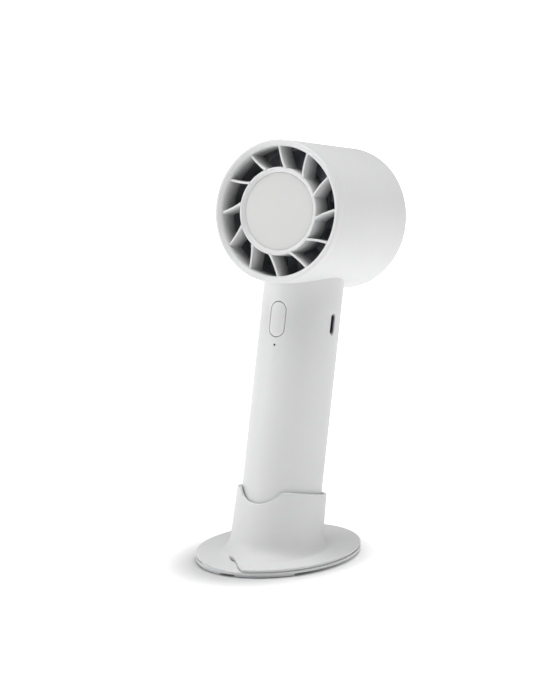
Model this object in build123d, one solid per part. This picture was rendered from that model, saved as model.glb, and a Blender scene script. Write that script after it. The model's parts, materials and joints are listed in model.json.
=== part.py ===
from build123d import *
import math
import os

# Handheld electric fan standing in its cradle stand.  Millimetres.
# Model frame: origin at the centre of the oval base on the surface it stands on,
# +Z up, the fan blows towards -Y.
# Fan frame: Z along the handle, front at -Y, height 0 where the handle's axis meets the floor.
# Head frame: Z along the impeller's axis towards the front, Y along the handle, X as in the model.

# ---- placement -------------------------------------------------------------------------
LEAN = 11.8             # backward lean of the fan in the stand, degrees
FOOT_Y = -3.2           # where the handle's axis meets the floor
HEAD_S = 153.8          # height of the head's axis along the handle

# ---- stand -----------------------------------------------------------------------------
PLATE_A = 33.7          # half width of the oval base
PLATE_B = 44.65         # half depth of the oval base
PLATE_TOP = 4.0         # top of the oval's rim
COVER_SKIRT = 3.3       # underside of the cover's outer rim
COVER_LOW = 2.45        # underside of the cover's inset step
PLATE_UNDER = 2.5       # ceiling of the hollow under the oval
REVEAL = 0.8            # depth of the shadow gap round the base
LIP_TOP = 2.4           # top of the base plate
FOOT_H = 1.3            # height of the rubber feet
FOOT_OUTER = 0.96       # outer and inner edge of the feet against the oval
FOOT_INNER = 0.82
FOOT_START = 5.2        # ends of each foot round the oval, degrees from the front or the back
FOOT_END = 51.0
FOOT_STEPS = 10
RIM_ROUND = 0.45        # rounding of the cover's rim
SOCKET_A = 19.7        # outer half width of the socket where its flare starts
SOCKET_B = 22.95         # outer half depth of the socket, square to the handle
SOCKET_TAPER = 0.028    # loss of half width per millimetre of height
SOCKET_RIM_S = 30.2     # rim of the socket along the handle
SOCKET_FLOOR_S = 8.2    # floor of the socket along the handle
SOCKET_FLOOR_T = 1.6
SOCKET_WALL = 1.6
SOCKET_GAP = 0.4        # clearance round the handle
FLARE_TOP = 10.5        # height where the socket's flare ends
FLARE_SIDE = 3.2        # spread of the flare at the sides
FLARE_FRONT = 8.0
FLARE_REAR = 3.5
FLARE_STEPS = 7
SHELL = 1.8             # wall of the flare
SCOOP_LOW_S = 23.8      # lowest point of the thumb scoop in the rim
SCOOP_R = 12.7
SCOOP_CORNER = 2.2
NOTCH_X = -1.8          # middle of the front notch
NOTCH_MOUTH = 9.4       # half width of the front notch at the oval's edge
NOTCH_WAIST = 4.3       # half width of the front notch at its inner end
NOTCH_END = 11.0        # length of the notch from the oval's front edge
NOTCH_WALL = 1.4
STAND_SCREW_X = 15.5
STAND_SCREW_DY = 11.5
STAND_SCREW_Y = FOOT_Y + 0.8
BOSS_R = 2.3
SCREW_R = 0.9           # shank of the small screws
SCREW_HEAD_R = 1.8

# ---- handle ----------------------------------------------------------------------------
HANDLE_A = 17.0         # half width of the handle
HANDLE_B = 20.25        # half depth of the handle
HANDLE_WALL = 1.8
HANDLE_LOW = 8.5        # underside of the end cap
CAP_TOP = 10.6          # seam between the end cap and the handle shell
CAP_ROUND = 1.0
FIT = 0.25              # gap between the shell and what slides into it
SPIGOT_LOW = 117.0      # lower end of the barrel's neck inside the handle
SPIGOT_WALL = 1.7
BUTTON_S = 106.2        # centre of the power button
BUTTON_HALF_W = 3.7
BUTTON_HALF_L = 7.75
GROOVE = 0.3            # gap round the button
BUTTON_TRAVEL = 0.5
BUTTON_PROUD = 0.1
LED_S = 94.7
LED_R = 0.45
USB_S = 106.2
USB_Y = -0.2
USB_W = 9.6             # port opening along the handle
USB_H = 3.6             # port opening across
USB_SHELL_W = 8.94
USB_SHELL_H = 3.2
CELL_R = 10.6           # 21700 cell
CELL_L = 70.2
CELL_LOW = 13.6
CELL_Y = 3.0
BOARD_T = 1.2
BOARD_FRONT = USB_Y + USB_SHELL_H / 2 + 0.05
BOARD_LOW = 88.0
BOARD_HIGH = 114.5
SPINE_Y = 14.6          # front face of the inner frame's spine
SPINE_T = 1.8
BOARD_SCREWS = (92.5, 111.5)
BOARD_SCREW_X = -7.0
SWITCH_BOARD = -11.6    # rear face of the switch board
SWITCH_FACE = SWITCH_BOARD - 1.0
SWITCH_TOP = SWITCH_FACE - 2.4

# ---- head ------------------------------------------------------------------------------
HEAD_R = 31.7
HEAD_FRONT = 31.2
HEAD_REAR = -30.8
HEAD_WALL = 1.3
BEZEL = 5.0             # length of the front bezel
SEAM = 0.06             # hairline between mouldings
DUCT_R = 28.8           # air duct
DUCT_WALL = 0.8
SLEEVE_BACK = 19.2      # rear edge of the bezel's inner sleeve and of the hub
VANES = 12
VANE_T = 1.0
VANE_FRONT = HEAD_FRONT - 0.75
VANE_DEPTH = 11.0
VANE_TIP_DEG = -6.5     # clockwise from the top, seen from the front
VANE_ROOT_DEG = 4.7
VANE_BOW = 0.35
HUB_R = 19.55
HUB_RIM = HEAD_FRONT - 1.3
HUB_DISC_R = 17.2
HUB_DISC = HUB_RIM - 1.4
HUB_FLOOR = 26.0
HUB_FLOOR_T = 1.6
BLADES = 11
BLADE_TIP_R = 28.2
IMPELLER_R = 19.4
IMPELLER_FRONT = 17.4
IMPELLER_REAR = -3.0
NOSE = -12.0
SHAFT_R = 1.5
BEARING_R = 3.0
TUBE_R = 4.2
BELL_R = 14.2
BELL_REAR = 7.2
STATOR_TEETH = 9
STATOR_LOW = 12.0
STATOR_HIGH = 17.0
LEAD_R = 0.35
POWER_LEAD_R = 0.7

FAN = Pos(0, FOOT_Y, 0) * Rot(X=-LEAN)
HEAD = FAN * Pos(0, 0, HEAD_S) * Rot(X=90)
TAN = math.tan(math.radians(LEAN))
COS = math.cos(math.radians(LEAN))


# ---- small builders --------------------------------------------------------------------
def disc(radius, low, high):
    """Cylinder about Z between two heights."""
    return Pos(0, 0, low) * extrude(Circle(radius), high - low)


def ring(outer, inner, low, high):
    """Tube about Z between two heights."""
    return Pos(0, 0, low) * extrude(Circle(outer) - Circle(inner), high - low)


def oval(half_x, half_y, low, high):
    """Elliptical cylinder about Z between two heights."""
    return Pos(0, 0, low) * extrude(Ellipse(half_x, half_y), high - low)


def block(x0, x1, y0, y1, z0, z1):
    """Box between two corners."""
    return Pos((x0 + x1) / 2, (y0 + y1) / 2, (z0 + z1) / 2) * Box(x1 - x0, y1 - y0, z1 - z0)


def turned(points):
    """Solid turned about Z from a closed outline of (radius, height) points."""
    outline = make_face(Plane.XZ * Polyline(*points, close=True))
    return revolve(outline, axis=Axis.Z)


def pin_y(radius, x, y0, y1, z):
    """Cylinder along Y."""
    return Pos(x, y0, z) * Rot(X=-90) * extrude(Circle(radius), y1 - y0)


def pill_y(half_w, half_l, y0, y1, z):
    """Pill-shaped prism along Y, long along Z."""
    outline = SlotOverall(2 * half_l, 2 * half_w, rotation=90)
    return Pos(0, y0, z) * Rot(X=-90) * extrude(outline, y1 - y0)


def tube_along(points, radius, bend):
    """Round tube along straight runs joined by arcs."""
    path = FilletPolyline(*points, radius=bend)
    start = Plane(origin=path @ 0, z_dir=path % 0)
    return sweep(start * Circle(radius), path=path)


def save(shape, node):
    """Write one node."""
    export_step(shape, f"parts/{node}.step")


# ---- stand -----------------------------------------------------------------------------
def socket_section(height, spread_side, spread_front, spread_rear, inset):
    """Horizontal oval of the socket at a height, with the flare's spread added."""
    loss = SOCKET_TAPER * (height - FLARE_TOP)
    half_x = SOCKET_A - loss - inset + spread_side
    reach = (SOCKET_B - loss) / COS - inset
    middle = FOOT_Y + height * TAN
    front = middle - reach - spread_front
    rear = middle + reach + spread_rear
    return Pos(0, (front + rear) / 2, height) * Ellipse(half_x, (rear - front) / 2)


def flare_body(inset):
    """Socket with its flare.  The spread follows a quarter ellipse down to the oval."""
    sections = []
    for step in range(FLARE_STEPS + 1):
        angle = math.pi / 2 * step / FLARE_STEPS
        height = PLATE_TOP + (FLARE_TOP - PLATE_TOP) * (1 - math.cos(angle))
        share = 1 - math.sin(angle)
        sections.append(
            socket_section(
                height, FLARE_SIDE * share, FLARE_FRONT * share, FLARE_REAR * share, inset
            )
        )
    flare = loft(sections)
    foot = extrude(sections[0], PLATE_UNDER - PLATE_TOP)
    tube_top = SOCKET_RIM_S + 8
    lower = socket_section(FLARE_TOP, 0, 0, 0, inset)
    upper = socket_section(tube_top, 0, 0, 0, inset)
    return flare + foot + loft([lower, upper], ruled=True)


def notch_outline(grow):
    """Bell-shaped plan of the front notch, its mouth past the oval's edge."""
    edge = -PLATE_B - 2
    end = -PLATE_B + NOTCH_END + grow
    half_mouth = NOTCH_MOUTH + grow
    half_waist = NOTCH_WAIST + grow
    bend_y = -PLATE_B + 5.5
    left = Spline(
        (-half_mouth, edge), (-half_waist - 1.3, bend_y), (-half_waist + 0.8, end - 2.2), (0, end),
        tangents=((0, 1), (1, 0)),
    )
    right = Spline(
        (0, end), (half_waist - 0.8, end - 2.2), (half_waist + 1.3, bend_y), (half_mouth, edge),
        tangents=((1, 0), (0, -1)),
    )
    mouth = Line((half_mouth, edge), (-half_mouth, edge))
    return Pos(NOTCH_X, 0) * make_face([left, right, mouth])


def rim_cutter():
    """What is cut off above the socket's rim, with the thumb scoop in the front."""
    above = Pos(0, SOCKET_RIM_S + 20) * Rectangle(90, 40)
    scoop = Pos(0, SCOOP_LOW_S + SCOOP_R) * Circle(SCOOP_R)
    outline = above + scoop
    corners = [v for v in outline.vertices() if abs(v.Y - SOCKET_RIM_S) < 0.01 and abs(v.X) < 20]
    outline = fillet(corners, SCOOP_CORNER)
    front = extrude(Plane.XZ * outline, 60)
    rear = block(-45, 45, 0, 60, SOCKET_RIM_S, SOCKET_RIM_S + 40)
    return front + rear


def stand_bosses(radius, low, high):
    """Four cylinders at the stand's screws."""
    places = [(x, STAND_SCREW_Y + dy) for x in (-STAND_SCREW_X, STAND_SCREW_X)
              for dy in (-STAND_SCREW_DY, STAND_SCREW_DY)]
    return [Pos(x, y, 0) * disc(radius, low, high) for x, y in places]


def stand_cover():
    """Upper moulding: oval with its flared socket, open below."""
    rim = oval(PLATE_A, PLATE_B, COVER_SKIRT, PLATE_TOP)
    rim = fillet(rim.edges().group_by(Axis.Z)[-1], RIM_ROUND)
    step = oval(PLATE_A - REVEAL, PLATE_B - REVEAL, COVER_LOW, COVER_SKIRT + 0.2)
    body = rim + step + flare_body(0)
    core = FAN * oval(
        HANDLE_A + SOCKET_GAP + SOCKET_WALL,
        HANDLE_B + SOCKET_GAP + SOCKET_WALL,
        SOCKET_FLOOR_S - SOCKET_FLOOR_T,
        SOCKET_RIM_S + 20,
    )
    pocket = flare_body(SHELL) & block(-60, 60, -60, 60, 0, FLARE_TOP - SHELL)
    under = socket_section(PLATE_TOP, FLARE_SIDE, FLARE_FRONT, FLARE_REAR, SHELL)
    pocket += extrude(under, COVER_LOW - 1 - PLATE_TOP)
    pocket -= core
    for boss in stand_bosses(BOSS_R, 0, 20):
        pocket -= boss
    pocket -= extrude(notch_outline(NOTCH_WALL), 20)
    body -= pocket
    body -= Pos(0, 0, COVER_LOW - 1) * extrude(notch_outline(0), 20)
    body -= FAN * oval(
        HANDLE_A + SOCKET_GAP, HANDLE_B + SOCKET_GAP, SOCKET_FLOOR_S, SOCKET_RIM_S + 20
    )
    body -= FAN * rim_cutter()
    for hole in stand_bosses(SCREW_R, 0, 6.2):
        body -= hole
    return body


def stand_base_plate():
    """Lower plate that closes the stand and shows as a lip round it."""
    plate = oval(PLATE_A, PLATE_B, FOOT_H, LIP_TOP)
    for hole in stand_bosses(SCREW_R + 0.1, 0, 4):
        plate -= hole
    for recess in stand_bosses(SCREW_HEAD_R + 0.1, 0, FOOT_H + 0.95):
        plate -= recess
    return plate


def foot_edge(scale, angle):
    """Point of the oval, scaled, at an angle in degrees from its front end."""
    turn = math.radians(angle)
    return (PLATE_A * scale * math.sin(turn), -PLATE_B * scale * math.cos(turn))


def rubber_feet():
    """Four curved feet under the base plate, two at the front and two at the back."""
    span = (FOOT_END - FOOT_START) / FOOT_STEPS
    angles = [FOOT_START + span * step for step in range(FOOT_STEPS + 1)]
    outer = Spline(*[foot_edge(FOOT_OUTER, angle) for angle in angles])
    inner = Spline(*[foot_edge(FOOT_INNER, angle) for angle in angles])
    ends = [Line(outer @ 0, inner @ 0), Line(outer @ 1, inner @ 1)]
    foot = extrude(make_face([outer, inner] + ends), FOOT_H)
    left = mirror(foot, about=Plane.YZ)
    return Compound([foot, left, mirror(foot, about=Plane.XZ), mirror(left, about=Plane.XZ)])


def stand_screws():
    """Four screws that hold the stand together, their heads sunk in the base plate."""
    heads = stand_bosses(SCREW_HEAD_R, FOOT_H + 0.05, FOOT_H + 0.95)
    shanks = stand_bosses(SCREW_R, FOOT_H + 0.9, 6.0)
    return Compound([head + shank for head, shank in zip(heads, shanks)])


# ---- handle ----------------------------------------------------------------------------
def inner_oval(gap, low, high):
    """Elliptical cylinder that fits inside the handle with a gap."""
    return oval(HANDLE_A - HANDLE_WALL - gap, HANDLE_B - HANDLE_WALL - gap, low, high)


def handle_shell():
    """Tube of the handle, its top cut to sit on the barrel."""
    shell = oval(HANDLE_A, HANDLE_B, CAP_TOP + SEAM, HEAD_S)
    shell -= inner_oval(0, 0, HEAD_S + 1)
    shell -= Pos(0, 0, HEAD_S) * Rot(X=90) * disc(HEAD_R + SEAM, -40, 40)
    shell -= pill_y(BUTTON_HALF_W + GROOVE, BUTTON_HALF_L + GROOVE, -30, -5, BUTTON_S)
    shell -= pin_y(LED_R + 0.05, 0, -30, -5, LED_S)
    port = RectangleRounded(USB_W, USB_H, USB_H / 2 - 0.05, rotation=90)
    shell -= Pos(0, USB_Y, USB_S) * Rot(Y=90) * Rot(Z=90) * extrude(port, 30)
    return FAN * shell


def end_cap():
    """Closure of the handle's lower end."""
    cap = oval(HANDLE_A, HANDLE_B, HANDLE_LOW, CAP_TOP)
    cap = fillet(cap.edges().group_by(Axis.Z)[0], CAP_ROUND)
    cap += inner_oval(FIT, CAP_TOP - 0.1, CAP_TOP + 0.8)
    for x in (-12.8, 12.8):
        cap -= Pos(x, 0, 0) * disc(SCREW_R + 0.1, 0, 20)
        cap -= Pos(x, 0, 0) * disc(SCREW_HEAD_R + 0.2, 0, HANDLE_LOW + 1.1)
    return FAN * cap


def end_cap_screws():
    """Two screws from the end cap into the inner frame."""
    screw = disc(SCREW_HEAD_R, HANDLE_LOW + 0.1, HANDLE_LOW + 1.1)
    screw += disc(SCREW_R, HANDLE_LOW + 1, 16.5)
    return Compound([FAN * Pos(x, 0, 0) * screw for x in (-12.8, 12.8)])


def inner_frame():
    """Chassis inside the handle: a spine, two yokes for the cell and the board's posts."""
    low_yoke = inner_oval(FIT, CAP_TOP + 0.85, 13.0)
    high = CELL_LOW + CELL_L + 0.7
    frame = low_yoke + inner_oval(FIT, high, high + 1.6)
    frame -= block(-8, 8, -12.8, -8, high - 1, high + 3)
    frame += block(-6, 6, SPINE_Y, SPINE_Y + SPINE_T, 12, BOARD_HIGH)
    for x in (-12.8, 12.8):
        frame += Pos(x, 0, 0) * disc(1.95, CAP_TOP + 0.85, 17.5)
    for x in (-12.8, 12.8):
        frame -= Pos(x, 0, 0) * disc(SCREW_R, 0, 17)
    for s in BOARD_SCREWS:
        frame += pin_y(BOSS_R, BOARD_SCREW_X, BOARD_FRONT + BOARD_T, SPINE_Y + 0.5, s)
    for s in BOARD_SCREWS:
        frame -= pin_y(SCREW_R, BOARD_SCREW_X, 0, 9, s)
    return FAN * (frame & inner_oval(FIT, 0, HEAD_S))


def battery_cell():
    """One 21700 cell with its raised positive end."""
    cell = disc(CELL_R, CELL_LOW, CELL_LOW + CELL_L - 0.4)
    cell = chamfer(cell.edges(), 0.4)
    cell += disc(4.0, CELL_LOW + CELL_L - 0.5, CELL_LOW + CELL_L)
    return FAN * Pos(0, CELL_Y, 0) * cell


def battery_tabs():
    """Two nickel strips on the cell's ends."""
    low = Pos(0, CELL_Y, 0) * disc(4.5, CELL_LOW - 0.35, CELL_LOW - 0.05)
    high = Pos(0, CELL_Y, 0) * disc(4.5, CELL_LOW + CELL_L + 0.05, CELL_LOW + CELL_L + 0.35)
    low += block(-6.5, 0, -10, CELL_Y, CELL_LOW - 0.35, CELL_LOW - 0.05)
    high += block(0, 6.5, -10, CELL_Y, CELL_LOW + CELL_L + 0.05, CELL_LOW + CELL_L + 0.35)
    return Compound([FAN * low, FAN * high])


def battery_leads():
    """Negative and positive leads from the tabs to the main board."""
    over = CELL_LOW + CELL_L + 3.3
    leads = []
    for x, low in ((-5.5, CELL_LOW + 0.1), (5.5, CELL_LOW + CELL_L + 0.5)):
        path = [
            (x, -9.2, low), (x, -9.2, over), (x, -1.4, over),
            (x, -1.4, BOARD_LOW + 1.4), (x, BOARD_FRONT - 0.02, BOARD_LOW + 1.4),
        ]
        leads.append(FAN * tube_along(path, POWER_LEAD_R, 0.9))
    return Compound(leads)


def main_board():
    """Charging and drive board with its larger components."""
    front = BOARD_FRONT
    back = BOARD_FRONT + BOARD_T
    board = block(-12.5, 14.2, front, back, BOARD_LOW, BOARD_HIGH)
    board += block(-4, 3, front - 1.4, front + 0.1, 92, 98.5)
    board += block(5.5, 9.5, front - 2.0, front + 0.1, 91, 95)
    board += block(-2, 1, back - 0.1, back + 0.9, 101, 104)
    for x in (-1.5, 1.5, 4.5):
        board += block(x, x + 1.2, front - 0.8, front + 0.1, 112.0, 114.0)
    for s in BOARD_SCREWS:
        board -= pin_y(SCREW_R + 0.15, BOARD_SCREW_X, -5, 9, s)
    return FAN * board


def board_screws():
    """Two screws that hold the main board to the inner frame."""
    screws = []
    for s in BOARD_SCREWS:
        head = pin_y(SCREW_HEAD_R, BOARD_SCREW_X, BOARD_FRONT - 1.1, BOARD_FRONT, s)
        shank = pin_y(SCREW_R, BOARD_SCREW_X, BOARD_FRONT - 0.1, 8.5, s)
        screws.append(FAN * (head + shank))
    return Compound(screws)


def switch_board():
    """Small board behind the button."""
    return FAN * block(-5.4, 5.4, SWITCH_FACE, SWITCH_BOARD, 90.5, 113.5)


def board_pins():
    """Row of pins that joins the two boards."""
    pins = [block(x, x + 0.6, SWITCH_BOARD, BOARD_FRONT, 90.9, 91.5) for x in (-3.8, -2.2, -0.6, 1.0, 2.6)]
    return Compound([FAN * pin for pin in pins])


def tact_switch():
    """Switch housing with the plunger's bore."""
    body = block(-3, 3, SWITCH_TOP, SWITCH_FACE, BUTTON_S - 3, BUTTON_S + 3)
    body -= pin_y(1.75, 0, SWITCH_TOP - 1, SWITCH_FACE - 0.5, BUTTON_S)
    return FAN * body


def tact_plunger():
    """Plunger of the switch, pushed by the button."""
    return FAN * pin_y(1.65, 0, SWITCH_TOP - 0.6, SWITCH_FACE - 1.4, BUTTON_S)


def status_led():
    """Surface-mounted lamp behind the light pipe."""
    return FAN * block(-0.8, 0.8, SWITCH_FACE - 0.6, SWITCH_FACE, LED_S - 0.4, LED_S + 0.4)


def led_light_pipe():
    """Clear rod that brings the lamp's light to the handle's face."""
    rod = pin_y(LED_R, 0, -HANDLE_B + 0.05, SWITCH_FACE - 0.8, LED_S)
    rod += pin_y(1.1, 0, -HANDLE_B + HANDLE_WALL + 0.15, -HANDLE_B + HANDLE_WALL + 1.1, LED_S)
    return FAN * rod


def power_button():
    """Pill-shaped button flush with the handle, with a flange and a stem behind."""
    cap = pill_y(BUTTON_HALF_W, BUTTON_HALF_L, -30, -16.5, BUTTON_S)
    cap &= oval(HANDLE_A + BUTTON_PROUD, HANDLE_B + BUTTON_PROUD, 60, 140)
    cap += pill_y(BUTTON_HALF_W + 1.1, BUTTON_HALF_L + 1.1, -17.0, -16.3, BUTTON_S)
    cap += pin_y(1.6, 0, -16.4, SWITCH_TOP - 0.6, BUTTON_S)
    return FAN * cap


def usb_c_receptacle():
    """Metal shell of the charging port with its contact tongue."""
    outer = RectangleRounded(USB_SHELL_W, USB_SHELL_H, USB_SHELL_H / 2 - 0.05)
    inner = RectangleRounded(USB_SHELL_W - 0.6, USB_SHELL_H - 0.6, USB_SHELL_H / 2 - 0.35)
    depth = 7.3
    shell = extrude(outer, depth) - Pos(0, 0, 1) * extrude(inner, depth)
    shell += Pos(0, 0, depth / 2 - 0.3) * Box(6.7, 0.7, depth - 1.0)
    return FAN * Pos(HANDLE_A - 0.4 - depth, USB_Y, USB_S) * Rot(Y=90) * shell


# ---- head ------------------------------------------------------------------------------
def head_barrel():
    """Outer tube of the head with the neck that enters the handle."""
    inner = HEAD_R - HEAD_WALL
    seam = HEAD_FRONT - BEZEL - SEAM
    tube = turned([
        (HEAD_R, seam), (inner, seam), (inner, HEAD_REAR + 1.2), (inner - 0.9, HEAD_REAR + 1.2),
        (inner - 0.9, HEAD_REAR), (HEAD_R - 0.8, HEAD_REAR), (HEAD_R, HEAD_REAR + 0.8),
    ])
    half_x = HANDLE_A - HANDLE_WALL - FIT
    half_y = HANDLE_B - HANDLE_WALL - FIT
    neck = oval(half_x, half_y, SPIGOT_LOW, HEAD_S)
    neck -= oval(half_x - SPIGOT_WALL, half_y - SPIGOT_WALL, SPIGOT_LOW - 1, HEAD_S)
    neck -= Pos(0, 0, HEAD_S) * Rot(X=90) * disc(HEAD_R - 0.6, -40, 40)
    opening = oval(8.0, 12.5, SPIGOT_LOW, HEAD_S - 20)
    place = Pos(0, 0, HEAD_S) * Rot(X=90)
    return FAN * (place * tube + neck - opening)


def vane_outline(turn):
    """Cross-section of one guide vane, a gently bowed strip from the hub to the sleeve."""
    root = math.radians(VANE_ROOT_DEG + turn)
    tip = math.radians(VANE_TIP_DEG + turn)
    start = Vector(math.sin(root), math.cos(root)) * (HUB_R - 0.3)
    end = Vector(math.sin(tip), math.cos(tip)) * (DUCT_R + 0.3)
    along = (end - start).normalized()
    side = Vector(-along.Y, along.X) * (VANE_T / 2)
    bow = Vector(-along.Y, along.X) * VANE_BOW
    middle = (start + end) * 0.5 + bow
    one = ThreePointArc(start + side, middle + side, end + side)
    other = ThreePointArc(end - side, middle - side, start - side)
    return make_face([one, Line(end + side, end - side), other, Line(start - side, start + side)])


def front_grille():
    """Front moulding: bezel, inner sleeve, guide vanes and the motor's hub cup."""
    seam = HEAD_FRONT - BEZEL
    bezel = turned([
        (HEAD_R, seam), (HEAD_R, HEAD_FRONT - 0.9), (HEAD_R - 0.3, HEAD_FRONT - 0.25),
        (HEAD_R - 0.9, HEAD_FRONT), (HEAD_R - 1.4, HEAD_FRONT - 0.1), (DUCT_R + 0.3, HEAD_FRONT - 1.2),
        (DUCT_R, HEAD_FRONT - 2.2), (DUCT_R, SLEEVE_BACK), (DUCT_R + 1.1, SLEEVE_BACK), (DUCT_R + 1.1, seam),
    ])
    cup = turned([
        (HUB_R, SLEEVE_BACK), (HUB_R, HUB_RIM), (HUB_R - 0.9, HUB_RIM), (HUB_DISC_R + 0.05, HUB_DISC),
        (HUB_DISC_R + 0.05, HUB_DISC - 1.2), (16.0, HUB_DISC - 1.2), (16.0, HUB_FLOOR), (2.5, HUB_FLOOR),
        (2.5, HUB_FLOOR - HUB_FLOOR_T), (HUB_R - 1.7, HUB_FLOOR - HUB_FLOOR_T), (HUB_R - 1.7, SLEEVE_BACK),
    ])
    moulding = bezel + cup
    for vane in range(VANES):
        strip = extrude(vane_outline(vane * 360 / VANES), VANE_DEPTH)
        moulding += Pos(0, 0, VANE_FRONT - VANE_DEPTH) * strip
    for turn in range(3):
        moulding -= Rot(Z=120 * turn) * Pos(9.5, 0, 0) * disc(SCREW_R, 20, 28)
    return HEAD * moulding


def hub_cap():
    """Round cap that closes the hub over the motor's screws."""
    return HEAD * disc(HUB_DISC_R, HUB_DISC - 1.15, HUB_DISC)


def duct_liner():
    """Inner duct between the front sleeve and the rear grille, with a slot for the leads."""
    back = HEAD_REAR + 5.1
    liner = turned([
        (DUCT_R, SLEEVE_BACK - SEAM), (DUCT_R + DUCT_WALL, SLEEVE_BACK - SEAM),
        (DUCT_R + DUCT_WALL, back + 6), (DUCT_R + DUCT_WALL + 0.7, back),
        (DUCT_R + 0.8, back), (DUCT_R, back + 6),
    ])
    slot = block(-2.4, 2.4, -34, -20, IMPELLER_FRONT + 0.4, SLEEVE_BACK + 1)
    return HEAD * (liner - slot)


def rear_grille():
    """Intake grille at the back: rim, rings, spokes and a centre disc."""
    low = HEAD_REAR + 1.25
    grille = ring(HEAD_R - HEAD_WALL - 0.1, DUCT_R + 0.2, low, HEAD_REAR + 5.0)
    for radius in (13.0, 17.0, 21.0, 25.0):
        grille += ring(radius + 0.6, radius - 0.6, low, low + 1.8)
    grille += disc(9.2, low, low + 2.2)
    for spoke in range(12):
        grille += Rot(Z=30 * spoke) * block(8.5, DUCT_R + 0.8, -0.6, 0.6, low + 0.3, low + 2.2)
    return HEAD * grille


def impeller():
    """Twisted blades on a hub with a closed nose."""
    nose = JernArc((0, NOSE), (1, 0), 26.0, 48.2)
    edge = nose @ 1
    inner_start = (0, NOSE + 1.2)
    inner = Spline(inner_start, (IMPELLER_R - 1.2, edge.Y + 0.6), tangents=((1, 0), (0.4, 1)))
    web = BELL_REAR - 0.1
    rest = Polyline(
        (edge.X, edge.Y), (IMPELLER_R, IMPELLER_REAR + 1), (IMPELLER_R, IMPELLER_FRONT),
        (IMPELLER_R - 1.2, IMPELLER_FRONT), (IMPELLER_R - 1.2, web), (3.1, web), (3.1, web - 1.7),
        (IMPELLER_R - 1.2, web - 1.7), (IMPELLER_R - 1.2, edge.Y + 0.6),
    )
    shut = Line(inner_start, (0, NOSE))
    outline = make_face(Plane.XZ * Curve([nose, rest, inner, shut]))
    hub = revolve(outline, axis=Axis.Z)
    middle = (IMPELLER_FRONT + IMPELLER_REAR) / 2 + 0.3
    root = Pos(17.0, 0, middle) * Rot(Y=90) * Rot(Z=34) * Rectangle(22.0, 1.5)
    tip = Pos(30.0, 0, middle) * Rot(Y=90) * Rot(Z=50) * Rectangle(25.0, 1.1)
    swept = ring(BLADE_TIP_R, IMPELLER_R - 0.6, IMPELLER_REAR + 1.2, IMPELLER_FRONT)
    blade = loft([root, tip]) & swept
    for index in range(BLADES):
        hub += Rot(Z=index * 360 / BLADES) * blade
    return HEAD * hub


def rotor_bell():
    """Steel cup of the motor that carries the magnets."""
    return HEAD * turned([
        (SHAFT_R, BELL_REAR - 1.6), (3.0, BELL_REAR - 1.6), (3.0, BELL_REAR), (BELL_R - 0.6, BELL_REAR),
        (BELL_R, BELL_REAR + 0.6), (BELL_R, 19.5), (BELL_R - 1, 19.5), (BELL_R - 1, BELL_REAR + 1),
        (SHAFT_R, BELL_REAR + 1),
    ])


def magnet_ring():
    """Ring magnet inside the bell."""
    return HEAD * ring(BELL_R - 1.05, 11.35, 10.5, 18.5)


def motor_shaft():
    """Steel shaft of the rotor with the groove for its clip."""
    shaft = disc(SHAFT_R - 0.02, BELL_REAR - 1.6, 23.2)
    return HEAD * (shaft - ring(2, 1.2, 22.4, 22.8))


def shaft_clip():
    """Clip that keeps the shaft in its bearings."""
    clip = ring(2.5, 1.22, 22.42, 22.78) - block(0, 3, -0.6, 0.6, 22, 23)
    return HEAD * clip


def motor_bearings():
    """Two ball bearings in the bearing tube."""
    return Compound([HEAD * ring(BEARING_R - 0.01, SHAFT_R + 0.02, low, low + 2.5) for low in (9.0, 19.6)])


def motor_base():
    """Flange and bearing tube that hold the stator on the hub cup."""
    top = HUB_FLOOR - HUB_FLOOR_T - 0.05
    base = ring(12.0, BEARING_R, top - 1.4, top) + ring(TUBE_R, BEARING_R, BELL_REAR + 1.3, top)
    for turn in range(3):
        base -= Rot(Z=120 * turn) * Pos(9.5, 0, 0) * disc(0.8, 20, 28)
    return HEAD * base


def motor_screws():
    """Three screws from the hub cup into the motor's flange."""
    screw = disc(1.7, HUB_FLOOR, HUB_FLOOR + 1.1) + disc(0.8, HUB_FLOOR - 2.9, HUB_FLOOR + 0.1)
    return Compound([HEAD * Rot(Z=120 * turn) * Pos(9.5, 0, 0) * screw for turn in range(3)])


def stator_core():
    """Laminated iron core with nine T-shaped teeth."""
    core = ring(6.0, TUBE_R + 0.02, STATOR_LOW, STATOR_HIGH)
    shoes = ring(11.0, 10.2, STATOR_LOW, STATOR_HIGH)
    for tooth in range(STATOR_TEETH):
        turn = Rot(Z=tooth * 360 / STATOR_TEETH)
        core += turn * block(5.5, 10.6, -0.7, 0.7, STATOR_LOW, STATOR_HIGH)
        shoes -= turn * Rot(Z=180 / STATOR_TEETH) * block(9, 12, -0.6, 0.6, 10, 20)
    return HEAD * (core + shoes)


def stator_coils():
    """Nine copper windings, one round each tooth."""
    coil = block(6.5, 9.9, -1.65, 1.65, STATOR_LOW - 0.9, STATOR_HIGH + 0.9)
    coil = fillet(coil.edges().filter_by(Axis.X), 0.7)
    coil -= block(6, 10.5, -0.75, 0.75, STATOR_LOW - 0.05, STATOR_HIGH + 0.05)
    return Compound([HEAD * Rot(Z=k * 360 / STATOR_TEETH) * coil for k in range(STATOR_TEETH)])


def motor_board():
    """Ring-shaped driver board between the flange and the stator."""
    board = ring(12.6, TUBE_R + 0.3, 20.9, 21.9)
    board += block(6.0, 9.0, -1.5, 1.5, 20.2, 21.0)
    return HEAD * board


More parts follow.
